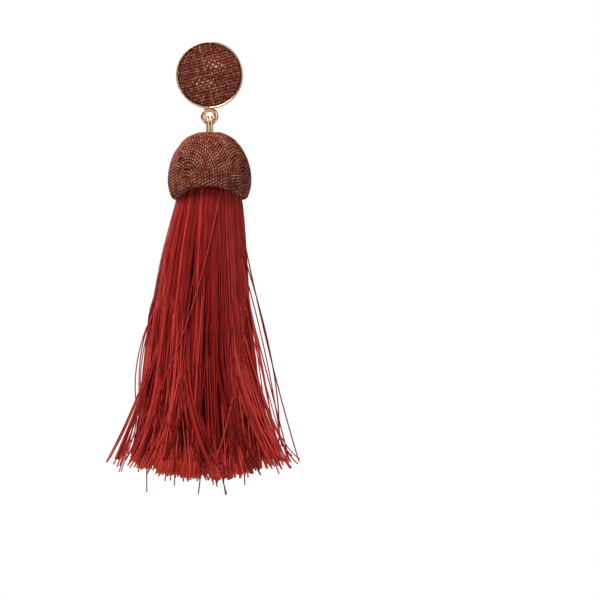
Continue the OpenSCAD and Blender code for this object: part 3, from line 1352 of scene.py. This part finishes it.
@dataclass(frozen=True)
class StrandPlay:
    """How unevenly strands fall: sizes as shares of the skirt's reach, spans as shares of the way down."""

    lock_place: float = 0.035
    lock_drift: float = 0.025
    lock_lean: float = 0.09
    lock_sink: float = 0.03
    lock_cut: float = 0.009
    lock_shade: float = 0.02
    own_drift: float = 0.003
    own_swing: float = 0.02
    own_cut: float = 0.011
    own_shade: float = 0.13
    wanderers: float = 0.05
    wander: float = 0.2
    crowding: float = 0.9
    drift_power: float = 1.3
    swing_power: float = 1.4
    gather_high: Span = (0.02, 0.4)
    gather_low: Span = (0.45, 0.75)
    part: Span = (0.8, 1.0)
    part_share: float = 0.55
    lean: Span = (0.35, 1.05)
    sink: Span = (0.35, 0.75)
    # How high and how many each strand's own waves are.
    waves: tuple[Span, ...] = ((0.024, 1.2), (0.006, 3.1))
    wave_pace: Span = (0.7, 1.3)
    bush: Span = (0.84, 1.02)
    bush_power: float = 1.5
    bush_scatter: float = 0.022
    bush_spread: float = 0.02
    low_room: float = 0.01
    bush_room: float = 0.06


@dataclass(frozen=True)
class LaidPlay:
    """How unevenly the strands of a laid lock lie; wave, scatter, length and lift are in mm."""

    start: Span = (-0.35, 0.1)
    fan: float = 0.45
    fan_power: float = 1.5
    wave: float = 0.12
    waves: float = 5.0
    scatter: float = 0.3
    length: float = 0.8
    lift_mm: Span = (-0.35, 0.25)
    widest: Span = (0.8, 0.97)
    side_from: float = 0.1
    side_to: float = 2.5
    beside: Span = (0.6, 0.9)
    shade: float = 0.2


@dataclass(frozen=True)
class StrayPlay:
    """How small locks on the sides and the back lean; first and sweep in degrees, flare and lift in mm."""

    locks: int = 26
    first: float = -20.0
    sweep: float = 220.0
    place: Span = (0.1, 0.9)
    strands: tuple[int, int] = (1, 18)
    lean: float = 0.22
    lean_power: float = 1.4
    start: Span = (0.35, 0.7)
    start_play: Span = (-0.08, 0.02)
    spread: Span = (0.03, 0.09)
    full: int = 6
    narrow: float = 0.3
    cut: float = 0.012
    few: int = 4
    few_flare: float = 1.4
    flare: float = 0.6
    rise: float = 0.45
    lift_mm: Span = (-0.2, 0.35)
    shade: Span = (0.3, 0.9)


@dataclass(frozen=True)
class WispPlay:
    """How the single strands that lean over the others lie, all round the skirt."""

    strands: int = 120
    place: float = 0.05
    lean: float = 0.2
    lean_power: Span = (1.2, 2.0)
    start: Span = (0.15, 0.65)
    shorter: float = 0.03
    rise: float = 0.35
    lift: float = 0.1 * MM
    shade: Span = (0.5, 1.0)


@dataclass
class Fringe(FibreWork):
    """The fringe: strands of floss from the head inside the cap down to the cut end, gathered in locks."""

    node: ClassVar[str] = "fringe"
    body: ClassVar[Body] = Body.TASSEL
    slot: ClassVar[Slot] = Slot.FLOSS
    hem_z: float
    axis_y: float
    hem_r: float = 7.2 * MM
    left_reach: float = 18.0 * MM
    deep_reach: float = 13.5 * MM
    length: float = 62.0 * MM
    strand_r: float = 0.2 * MM
    loose_r: float = 0.145 * MM
    thickness: Span = (0.85, 1.12)
    loose_thickness: Span = (0.88, 1.1)
    thin_below: int = 10
    shell_strands: int = 1720
    shell_scatter: float = 0.01
    shell_held: float = 0.5
    core_strands: int = 900
    core_share: float = 0.86
    core_held: float = 0.15
    locks: int = 110
    shell_steps: int = 22
    core_steps: int = 13
    loose_steps: int = 26
    shell_sides: int = 5
    core_sides: int = 3
    mean_cut: float = 0.985
    side_short: float = 0.062
    side_short_power: float = 2.6
    head_rise: float = 6.0 * MM
    furrow_turn: float = 0.035
    furrow_width: float = 0.055
    furrow_depth: float = 0.1
    furrow_top: Span = (0.12, 0.3)
    furrow_foot: Span = (0.78, 0.66)
    slit_top: float = 0.08
    slit_foot: float = 0.04
    slit_fade: float = 0.1
    start_depth: float = 1.7 * MM
    start_inset: float = 0.8 * MM
    inset_ease: float = 0.3 * MM
    side_ease: float = 0.05
    side_rise: float = 0.6
    bright_share: float = 0.1
    dark_share: float = 0.16
    picked_shade: float = 0.3
    outer_lot: float = 0.55
    # Painted shade for strands that lie under the outermost ones.
    inner_painted_shade: float = 0.3
    painted_shade_depth: float = 0.035
    # Painted light at the thin sides and painted shade in the thick middle, as changes of a strand's lot.
    loose_glow: float = 0.3
    left_glow: float = 0.16
    right_glow: float = 0.3
    glow_from: Span = (0.3, 0.95)
    middle_loss: float = 0.11
    tips: Span = (0.89, 1.0)
    tip_shine: Span = (0.4, 1.0)
    loose_tips: Span = (0.88, 1.0)
    loose_tip_shine: Span = (0.0, 0.6)
    play: StrandPlay = StrandPlay()
    laid_play: LaidPlay = LaidPlay()
    stray_play: StrayPlay = StrayPlay()
    wisp_play: WispPlay = WispPlay()
    seed: int = 23
    rows: tuple[SkirtRow, ...] = (
        SkirtRow(-0.10, -0.04, -0.04, -0.08),
        SkirtRow(0.00, 0.00, -0.02, -0.05),
        SkirtRow(0.03, 0.07, 0.04, 0.08),
        SkirtRow(0.20, 0.34, 0.12, 0.30),
        SkirtRow(0.42, 0.60, 0.21, 0.56),
        SkirtRow(0.64, 0.73, 0.31, 0.76),
        SkirtRow(0.84, 0.82, 0.54, 0.92),
        SkirtRow(1.00, 1.00, 0.72, 1.00),
    )
    slits: tuple[Slit, ...] = (
        Slit(0.70, 0.72, 0.80, 0.022),
        Slit(0.78, 0.76, 0.90, 0.026),
        Slit(0.86, 0.80, 0.97, 0.028),
        Slit(0.94, 0.86, 1.10, 0.028),
        Slit(-0.86, 0.84, 0.94, 0.022),
    )
    laid: tuple[LaidLock, ...] = (
        LaidLock((3.6, -22.0), (-3.6, -54.0), (-15.0, -80.0), lift=0.35, shade=0.85, rise=0.07),
        LaidLock((6.8, -66.0), (4.3, -79.0), (1.7, -87.3), lift=0.4, shade=0.6, rise=0.35),
        LaidLock((-13.0, -56.0), (-16.1, -67.0), (-15.9, -77.0), rise=0.2),
        LaidLock((-13.1, -56.5), (-15.3, -65.5), (-15.4, -76.0), rise=0.2),
        LaidLock((-13.2, -58.0), (-15.0, -66.5), (-15.1, -75.0), rise=0.2),
        LaidLock((7.4, -37.0), (13.7, -65.0), (20.1, -88.4), rise=0.1),
        LaidLock((7.3, -41.0), (14.2, -67.0), (15.4, -85.7), rise=0.1),
        LaidLock((7.4, -43.0), (11.9, -68.5), (16.5, -89.1), rise=0.1),
        LaidLock((7.9, -50.0), (10.9, -72.0), (14.9, -87.2), 2, 0.4, rise=0.12),
        LaidLock((7.6, -46.0), (11.0, -66.0), (13.2, -84.0), rise=0.1),
        LaidLock((7.8, -48.0), (11.9, -67.0), (15.0, -86.5), rise=0.1),
        LaidLock((7.7, -52.0), (10.6, -68.0), (12.6, -82.5), rise=0.12),
        LaidLock((8.0, -54.0), (12.3, -70.0), (17.4, -87.5), rise=0.12),
        LaidLock((8.2, -47.0), (12.9, -66.0), (16.2, -85.0), rise=0.1),
        LaidLock((8.4, -52.0), (12.2, -66.0), (17.9, -88.0), rise=0.1),
        LaidLock((8.0, -62.0), (13.6, -80.0), (18.6, -88.9), 8, 1.5, 0.0),
        LaidLock((7.6, -62.0), (12.2, -78.0), (16.4, -89.2), 16, 2.4, 0.0, 0.7),
        LaidLock((-12.0, -64.0), (-17.0, -78.5), (-21.2, -88.4), 11, 1.4, 0.0, rise=0.3),
        LaidLock((-14.0, -68.0), (-17.0, -80.0), (-20.2, -89.8), 2, 0.6, 0.0),
        LaidLock((-14.9, -79.0), (-16.6, -82.6), (-18.2, -84.6)),
        LaidLock((-7.4, -50.0), (-7.8, -69.0), (-11.0, -87.5), 9, 1.2, 0.3, 0.8, 0.5),
        LaidLock((-5.1, -60.0), (-6.6, -76.0), (-12.4, -90.0), 14, 2.2, 0.2, 0.5, 0.6),
        LaidLock((-5.4, -60.0), (-3.4, -77.0), (2.6, -91.0), 18, 2.4, 0.2, 0.5, 0.6),
        LaidLock((4.2, -54.0), (7.6, -72.0), (14.6, -88.5), 14, 2.4, 0.2, 0.5, 0.6),
        LaidLock((2.0, -58.0), (4.6, -75.0), (9.6, -90.0), 12, 2.4, 0.1, 0.35, 0.6),
        LaidLock((8.6, -52.0), (7.0, -72.0), (4.4, -90.5), 7, 1.6, 0.1, 0.55, 0.6),
        LaidLock((-9.4, -54.0), (-11.4, -74.0), (-16.4, -88.5), 14, 2.4, 0.1, 0.5, 0.6),
        LaidLock((-11.0, -54.0), (-11.2, -73.0), (-8.4, -90.0), 8, 1.6, 0.1, 0.4, 0.6),
        LaidLock((-13.1, -80.0), (-13.6, -88.0), (-13.6, -94.9), shade=0.1),
        LaidLock((-1.2, -80.0), (-1.4, -88.0), (-2.1, -95.0), shade=0.1),
        LaidLock((-6.6, -80.0), (-7.2, -87.0), (-7.4, -93.3), shade=0.2),
        LaidLock((2.4, -80.0), (3.0, -87.0), (4.4, -93.6), 2, 0.5, shade=0.2),
        LaidLock((7.4, -80.0), (7.8, -87.0), (8.1, -93.2), shade=0.2),
        LaidLock((0.6, -80.0), (1.1, -87.0), (1.9, -94.0), 2, 0.5, shade=0.2),
    )
    finish: FlossFinish = FlossFinish(
        "fringe_floss",
        deep=linear(74, 1, 0),
        middle=linear(105, 4, 1),
        bright=linear(174, 52, 47),
        tip_highlight=linear(218, 68, 54),
    )

    @classmethod
    def from_frame(cls) -> "Fringe":
        """Takes the place of the fringe's edge under the cap from the frame."""
        low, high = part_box(WoundCap.node)
        return cls(low.z, (low.y + high.y) / 2)

    def reach(self, down: Array, heading: Array) -> tuple[Array, Array]:
        """Reach of the skirt to the side and to the front or back.

        Args:
            down: Share of the way down.
            heading: Angle round the fringe, from +X.

        Returns:
            The two reaches, in metres.
        """
        at = [row.down for row in self.rows]
        sides = ("left", "right", "deep")
        left, right, deep = (np.interp(down, at, [getattr(row, s) for row in self.rows]) for s in sides)
        side = self.hem_r + (self.left_reach - self.hem_r) * np.where(np.cos(heading) < 0, left, right)
        return side, self.hem_r + (self.deep_reach - self.hem_r) * deep

    def glow(self, across: Array, left: float, right: float) -> Array:
        """Painted light and shade: what a strand's lot gains from light through a thin side, or loses in the
        thick middle.

        Args:
            across: Each strand's place from side to side, from -1 to 1.
            left: The gain at the left side.
            right: The gain at the right side.

        Returns:
            The change of each strand's lot.
        """
        gain = np.where(across < 0, left, right) * smooth_step(*self.glow_from, np.abs(across))
        return gain - self.middle_loss

    def place(self, spot: Array, down: Array) -> Array:
        """Turns places in a round cross-section into points of the skirt.

        Args:
            spot: Places in a disc of radius 1, as strands by points by 2.
            down: Share of the way down at each, as strands by points.

        Returns:
            The points.
        """
        side, deep = self.reach(down, np.arctan2(spot[..., 1], spot[..., 0]))
        return points_of(
            spot[..., 0] * (side - self.strand_r),
            self.axis_y + spot[..., 1] * (deep - self.strand_r),
            self.hem_z - down * self.length,
        )

    def cut_share(self, across: Array) -> Array:
        """Share of the full length at which the fringe is cut, for a place from side to side."""
        return self.mean_cut - self.side_short * np.minimum(np.abs(across), 1.0) ** self.side_short_power

    def strands(self, own: Array, steps: int, held: float, rng: Chance) -> tuple[Array, Array, Array]:
        """Lays strands from their places in the head down to the cut end.

        Args:
            own: Each strand's place in a disc of radius 1.
            steps: Number of points of a strand.
            held: How strongly the strands keep together in locks.
            rng: The source of small differences.

        Returns:
            Their points, their lots, and the heading at which each one ends.
        """
        n = len(own)
        play = self.play
        middles = sunflower(self.locks) + rng.normal(0, play.lock_place, (self.locks, 2))
        near = np.argmin(np.linalg.norm(own[:, None] - middles[None], axis=-1), axis=1)
        middle = middles[near]
        tangent = points_of(-own[:, 1], own[:, 0])
        lock_drift = rng.normal(0, play.lock_drift, (self.locks, 2))[near]
        lock_lean = rng.normal(0, play.lock_lean, (self.locks, 1))[near]
        own_drift = rng.normal(0, play.own_drift, (n, 2)) + tangent * rng.normal(0, play.own_swing, (n, 1))
        lock_sink = rng.uniform(0, play.lock_sink, (self.locks, 1))[near]
        wanderer = rng.uniform(0, 1, n) < play.wanderers
        own_drift[wanderer] += tangent[wanderer] * rng.normal(0, play.wander, (wanderer.sum(), 1))
        lock_cut = rng.normal(0, play.lock_cut, self.locks)[near]
        cut = self.cut_share(own[:, 0]) + lock_cut + rng.normal(0, play.own_cut, n)
        head = -self.head_rise / self.length
        down = head + (cut[:, None] - head) * np.linspace(0, 1, steps) ** play.crowding
        fall = np.maximum(down, 0.0)[..., None]
        gather = smooth_step(*play.gather_high, fall) + smooth_step(*play.gather_low, fall)
        gather = held * (gather / 2 - play.part_share * smooth_step(*play.part, fall))
        spot = own[:, None] * (1 - gather) + middle[:, None] * gather
        spot = spot + lock_drift[:, None] * fall**play.drift_power
        spot = spot + own_drift[:, None] * fall**play.swing_power
        spot = spot + (lock_lean * tangent)[:, None] * smooth_step(*play.lean, fall)
        for strength, waves in play.waves:
            phase = rng.uniform(0, TURN, (n, 1, 1))
            pace = waves * rng.uniform(*play.wave_pace, (n, 1, 1))
            spot = spot + strength * fall**0.5 * np.sin(TURN * pace * fall + phase) * tangent[:, None]
        bush = smooth_step(*play.bush, fall) ** play.bush_power
        spot = spot * (1 - lock_sink[:, None] * smooth_step(*play.sink, fall))
        spot = spot + rng.normal(0, play.bush_scatter, (n, 1, 2)) * bush
        spot = self.parted(spot + play.bush_spread * own[:, None] * bush, down)
        length = np.linalg.norm(spot, axis=-1, keepdims=True)
        allowed = 1.0 + play.low_room * fall + play.bush_room * bush
        spot = spot * np.minimum(1.0, allowed / np.maximum(length, 1e-9))
        ending = np.arctan2(spot[:, -1, 1], spot[:, -1, 0])
        return self.place(spot, down), self.lots(own, near, rng), ending

    def parted(self, spot: Array, down: Array) -> Array:
        """Opens the furrow down the front and the slits low at the sides.

        Args:
            spot: Places in a disc of radius 1, as strands by points by 2.
            down: Share of the way down at each, as strands by points.

        Returns:
            The moved places.
        """
        ahead = np.arctan2(spot[..., 1], spot[..., 0]) + math.pi / 2 - self.furrow_turn
        furrow = np.exp(-((ahead / self.furrow_width) ** 2))
        window = smooth_step(*self.furrow_top, down) * smooth_step(*self.furrow_foot, down)
        spot = spot * (1 - self.furrow_depth * furrow * window)[..., None]
        for slit in self.slits:
            off = spot[..., 0] - slit.across
            opened = smooth_step(slit.top, slit.top + self.slit_top, down)
            opened = opened * smooth_step(slit.bottom + self.slit_foot, slit.bottom, down)
            spot[..., 0] += np.sign(off) * slit.half_width * np.exp(-np.abs(off) / self.slit_fade) * opened
        return spot

    def lots(self, own: Array, near: Array, rng: Chance) -> Array:
        """Draws the shade of each strand.

        Args:
            own: Each strand's place in a disc of radius 1.
            near: The number of its lock.
            rng: The source of chance.

        Returns:
            The lots, with painted shade under the outermost strands and in the thick middle, and painted
            light at the thin sides.
        """
        n = len(own)
        chance = rng.uniform(0, 1, n)
        bright = np.where(chance < self.bright_share, self.picked_shade, 0.0)
        picked = bright - np.where(chance > 1 - self.dark_share, self.picked_shade, 0.0)
        lock_lot = rng.normal(0, self.play.lock_shade, self.locks)[near]
        # Painted shade for the strands under the outermost ones.
        inner = smooth_step(0.0, self.painted_shade_depth, 1 - np.linalg.norm(own, axis=1))
        # Painted light at the thin sides, painted shade in the middle.
        glow = self.glow(own[:, 0], self.left_glow, self.right_glow)
        lots = self.outer_lot + glow - self.inner_painted_shade * inner
        return np.clip(lots + lock_lot + picked + rng.normal(0, self.play.own_shade, n), 0.0, 1.0)

    def on_skirt(self, heading: Array, down: Array, lift: Array) -> Array:
        """Points that lie on the skirt.

        Args:
            heading: Angle round the fringe, from +X.
            down: Share of the way down.
            lift: Height over the skirt.

        Returns:
            The points.
        """
        side, deep = self.reach(down, heading)
        return points_of(
            (side + lift) * np.cos(heading),
            self.axis_y + (deep + lift) * np.sin(heading),
            self.hem_z - down * self.length,
        )

    def laid_paths(self, lock: LaidLock, steps: int, rng: Chance) -> Array:
        """Lays the strands of one lock over the front of the skirt.

        Args:
            lock: The lock.
            steps: Number of points of a strand.
            rng: The source of small differences.

        Returns:
            The points, as strands by points by 3.
        """
        play = self.laid_play
        each = (lock.strands, 1)
        bundle = min(lock.strands - 1, 1)
        share = np.linspace(0, 1, steps)[None]
        first = rng.uniform(*play.start, each) * bundle
        t = first + (1 - first) * share
        a, b, c = (np.array(p) * MM for p in (lock.start, lock.middle, lock.end))
        bend = t[..., None]
        flat = a * (1 - bend) * (1 - 2 * bend) + b * 4 * bend * (1 - bend) + c * bend * (2 * bend - 1)
        aside = rng.uniform(-1, 1, each) * bundle
        x = flat[..., 0] + lock.spread * MM * aside * (play.fan + (1 - play.fan) * share**play.fan_power)
        x = x + bundle * play.wave * MM * np.sin(rng.uniform(0, TURN, each) + play.waves * t)
        x = x + bundle * rng.normal(0, play.scatter * MM, each) * share**2
        z = flat[..., 1] + rng.normal(0, play.length * MM, each) * bundle * share
        side, deep = self.reach((self.hem_z - z) / self.length, np.where(x < 0, math.pi, 0.0))
        outside = smooth_step(play.side_from * lock.rise, play.side_to * lock.rise, share)
        inside = side - self.start_inset + self.left_reach * outside
        x = np.sign(x) * soft_least(np.abs(x), inside, self.inset_ease)
        start_share = np.abs(x[:, :1]) / side[:, :1]
        limit = np.maximum(rng.uniform(*play.widest, each), start_share)
        held = soft_least(np.abs(x) / side, limit, self.side_ease)
        own_lift = (lock.lift + rng.uniform(*play.lift_mm, each) * bundle) * MM
        rise = lock.rise + (self.side_rise - lock.rise) * smooth_step(*play.beside, start_share)
        front = (deep + own_lift + self.buried(share, rise)) * np.sqrt(1 - np.clip(held, 0.0, 1.0) ** 2)
        return points_of(x, self.axis_y - front, z)

    def buried(self, t: Array, rise: float) -> Array:
        """Lift that keeps a laid strand's start inside the skirt, up to the share of its way called rise."""
        return -self.start_depth * smooth_step(rise, 0.0, t) - self.strand_r

    def stray_paths(self, steps: int, rng: Chance) -> list[Array]:
        """Lays small locks that lean over the others on the sides and the back.

        Args:
            steps: Number of points of a strand.
            rng: The source of small differences.

        Returns:
            The points of each lock, as strands by points by 3.
        """
        play = self.stray_play
        paths = []
        t = np.linspace(0, 1, steps)[None]
        for number in range(play.locks):
            heading = math.radians(play.first + play.sweep * (number + rng.uniform(*play.place)) / play.locks)
            count = int(rng.integers(*play.strands))
            lean = rng.normal(0, play.lean)
            start = rng.uniform(*play.start)
            spread = rng.uniform(*play.spread) * min(count / play.full, 1.0)
            aside = rng.uniform(-1, 1, (count, 1))
            turned = heading + lean * t**play.lean_power
            turned = turned + spread * aside * (play.narrow + (1 - play.narrow) * t)
            stop = self.cut_share(np.cos(turned[:, -1:])) + rng.normal(0, play.cut, (count, 1))
            down = start + rng.uniform(*play.start_play, (count, 1)) * (1 - t) + (stop - start) * t
            flare = rng.uniform(0.0, play.few_flare if count < play.few else play.flare)
            lift = self.buried(t, play.rise) + rng.uniform(*play.lift_mm, (count, 1)) * MM
            paths.append(self.on_skirt(turned, down, lift + flare * MM * t**3))
        return paths

    def wisp_paths(self, steps: int, rng: Chance) -> Array:
        """Lays single strands that lean over the others all round the skirt.

        Args:
            steps: Number of points of a strand.
            rng: The source of small differences.

        Returns:
            Their points, as strands by points by 3.
        """
        play = self.wisp_play
        each = (play.strands, 1)
        t = np.linspace(0, 1, steps)[None]
        spots = sunflower(play.strands)
        heading = np.arctan2(spots[:, 1:], spots[:, :1]) + rng.normal(0, play.place, each)
        lean = rng.normal(0, play.lean, each)
        turned = heading + lean * t ** rng.uniform(*play.lean_power, each)
        start = rng.uniform(*play.start, each)
        stop = self.cut_share(np.cos(turned[:, -1:])) - np.abs(rng.normal(0, play.shorter, each))
        return self.on_skirt(turned, start + (stop - start) * t, self.buried(t, play.rise) + play.lift)

    def outward(self, paths: Array) -> Array:
        """Level directions away from the fringe's axis."""
        return unit((paths - [0.0, self.axis_y, 0.0]) * [1.0, 1.0, 0.0])

    def pieces(self, material: Material, rng: Chance) -> list[Piece]:
        """Makes the strands, in one piece for each quarter of the fringe and one for the laid locks.

        Args:
            material: The floss.
            rng: The source of small differences.

        Returns:
            The pieces.
        """
        scatter = rng.normal(0, self.shell_scatter, (self.shell_strands, 2))
        shell = sunflower(self.shell_strands, self.core_share) + scatter
        shell /= np.maximum(np.linalg.norm(shell, axis=1, keepdims=True), 1.0)
        core = sunflower(self.core_strands, 0.0, self.core_share)
        layers = (
            (self.strands(shell, self.shell_steps, self.shell_held, rng), self.shell_steps, self.shell_sides),
            (self.strands(core, self.core_steps, self.core_held, rng), self.core_steps, self.core_sides),
        )
        off_axis = [0.0, -1e-6, 0.0]
        made = []
        for number, quarter in enumerate(("right", "back", "left", "front")):
            start = -math.pi / 4 + number * math.pi / 2
            tubes = TubeMesh(self.shell_sides)
            for (paths, lots, ending), steps, sides in layers:
                tubes.sides = sides
                chosen = (ending - start) % TURN < math.pi / 2
                some = paths[chosen]
                each = (len(some), 1)
                radii = self.strand_r * rng.uniform(*self.thickness, each) * np.ones((1, steps))
                tips = smooth_step(*self.tips, np.linspace(0, 1, steps))
                accents = rng.uniform(*self.tip_shine, each) * tips
                tubes.add(some, self.outward(some + off_axis), radii, lots[chosen], accents)
            made.append(tubes.build("fringe_" + quarter, material))
        return [*made, self.loose_piece(material, rng)]

    def loose_piece(self, material: Material, rng: Chance) -> Piece:
        """Makes the piece that holds the laid locks.

        Args:
            material: The floss.
            rng: The source of small differences.

        Returns:
            The piece.
        """
        steps = self.loose_steps
        tubes = TubeMesh(self.shell_sides)
        groups = [(self.laid_paths(lock, steps, rng), lock.shade) for lock in self.laid]
        strays = self.stray_paths(steps, rng)
        groups += [(paths, rng.uniform(*self.stray_play.shade)) for paths in strays]
        wisps = self.wisp_paths(steps, rng)
        groups += [(path[None], rng.uniform(*self.wisp_play.shade)) for path in wisps]
        tips = smooth_step(*self.loose_tips, np.linspace(0, 1, steps))
        for paths, shade in groups:
            each = (len(paths), 1)
            thick = self.loose_r if len(paths) < self.thin_below else self.strand_r
            radii = thick * rng.uniform(*self.loose_thickness, each) * np.ones((1, steps))
            # Painted light at the thin sides, painted shade in the middle.
            glow = self.glow(paths[:, -1, 0] / self.left_reach, self.loose_glow, self.loose_glow)
            lots = np.clip(shade + glow + rng.normal(0, self.laid_play.shade, len(paths)), 0.0, 1.0)
            accents = rng.uniform(*self.loose_tip_shine, each) * tips * shade
            tubes.add(paths, self.outward(paths), radii, lots, accents)
        return tubes.build("fringe_loose", material)


@dataclass(frozen=True)
class SoftLamp:
    """A square soft lamp, placed from the point that it faces."""

    name: str
    offset: tuple[float, float, float]
    size: float
    watts: float

    def build(self, target: Vector) -> None:
        """Makes the lamp.

        Args:
            target: The point that it faces.
        """
        data = bpy.data.lights.new(self.name, "AREA")
        data.size = self.size
        data.energy = self.watts
        lamp = bpy.data.objects.new(self.name, data)
        lamp.location = target + Vector(self.offset)
        lamp.rotation_euler = (target - lamp.location).to_track_quat("-Z", "Y").to_euler()
        bpy.context.scene.collection.objects.link(lamp)


@dataclass
class Studio:
    """A white studio: floor far below the hanging jewel, soft lamps, and the photograph's view."""

    aim: tuple[float, float, float] = (20.26 * MM, -1.1 * MM, -52.38 * MM)
    view_width: float = 134.35 * MM
    lens: float = 200.0
    sensor: float = 36.0
    nearest: float = 0.01
    floor_drop: float = 0.11
    floor_r: float = 0.45
    floor_steps: int = 64
    paper: PlainFinish = PlainFinish("white_paper", (0.9, 0.9, 0.9))
    ambient: float = 0.27
    lamps: tuple[SoftLamp, ...] = (
        SoftLamp("key", (-0.12, -0.18, 0.33), 0.2, 2.6),
        SoftLamp("fill", (0.6, -0.6, 0.2), 0.5, 1.8),
        SoftLamp("back", (-0.35, 0.5, 0.3), 0.4, 2.4),
    )

    def build(self) -> list[Piece]:
        """Makes the floor, the lamps, the white surroundings and the camera.

        Returns:
            The floor and the camera.
        """
        for lamp in self.lamps:
            lamp.build(Vector(self.aim))
        self.surroundings()
        return [self.floor(), self.camera()]

    def floor(self) -> Piece:
        """Makes the round floor.

        Returns:
            The floor.
        """
        turns = [TURN * k / self.floor_steps for k in range(self.floor_steps)]
        z = self.aim[2] - self.floor_drop
        rim = [(self.floor_r * math.cos(turn), self.floor_r * math.sin(turn), z) for turn in turns]
        mesh = bpy.data.meshes.new("floor")
        mesh.from_pydata(rim, [], [tuple(range(self.floor_steps))])
        floor = add_object("floor", mesh, self.paper.build())
        return floor

    def surroundings(self) -> None:
        """Makes the surroundings white where they are seen, and softer as a source of light."""
        world = bpy.data.worlds.new("white_studio")
        world.use_nodes = True
        bpy.context.scene.world = world
        board = Board(world.node_tree)
        glow = world.node_tree.nodes["Background"]
        glow.inputs["Color"].default_value = (1.0, 1.0, 1.0, 1.0)
        seen = board.node("LightPath").outputs["Is Camera Ray"]
        board.feed(glow.inputs["Strength"], board.span(seen, target=(self.ambient, 1.0)))

    def camera(self) -> Piece:
        """Makes the camera, straight in front at the height of the picture's middle.

        Returns:
            The camera.
        """
        data = bpy.data.cameras.new("camera")
        data.lens = self.lens
        data.sensor_width = self.sensor
        data.clip_start = self.nearest
        camera = bpy.data.objects.new("camera", data)
        distance = self.view_width * self.lens / self.sensor
        camera.location = Vector(self.aim) + Vector((0.0, -distance, 0.0))
        camera.rotation_euler = (math.pi / 2, 0.0, 0.0)
        bpy.context.scene.collection.objects.link(camera)
        bpy.context.scene.camera = camera
        bpy.context.scene.view_settings.view_transform = "Standard"
        return camera


def main() -> None:
    """Builds the visual model round the frame."""
    logging.basicConfig(level=logging.INFO, format="%(message)s")
    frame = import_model()
    effects = Effects()
    made = MetalWork().dress(frame["nodes"], effects)
    for part in (WovenButton, WoundCap, Fringe):
        made += part.from_frame().build(effects)
    made += Studio().build()
    for piece in made:
        faces = len(piece.data.polygons) if piece.type == "MESH" else 0
        log.info("%s: %d faces", piece.name, faces)


if __name__ == "__main__":
    main()
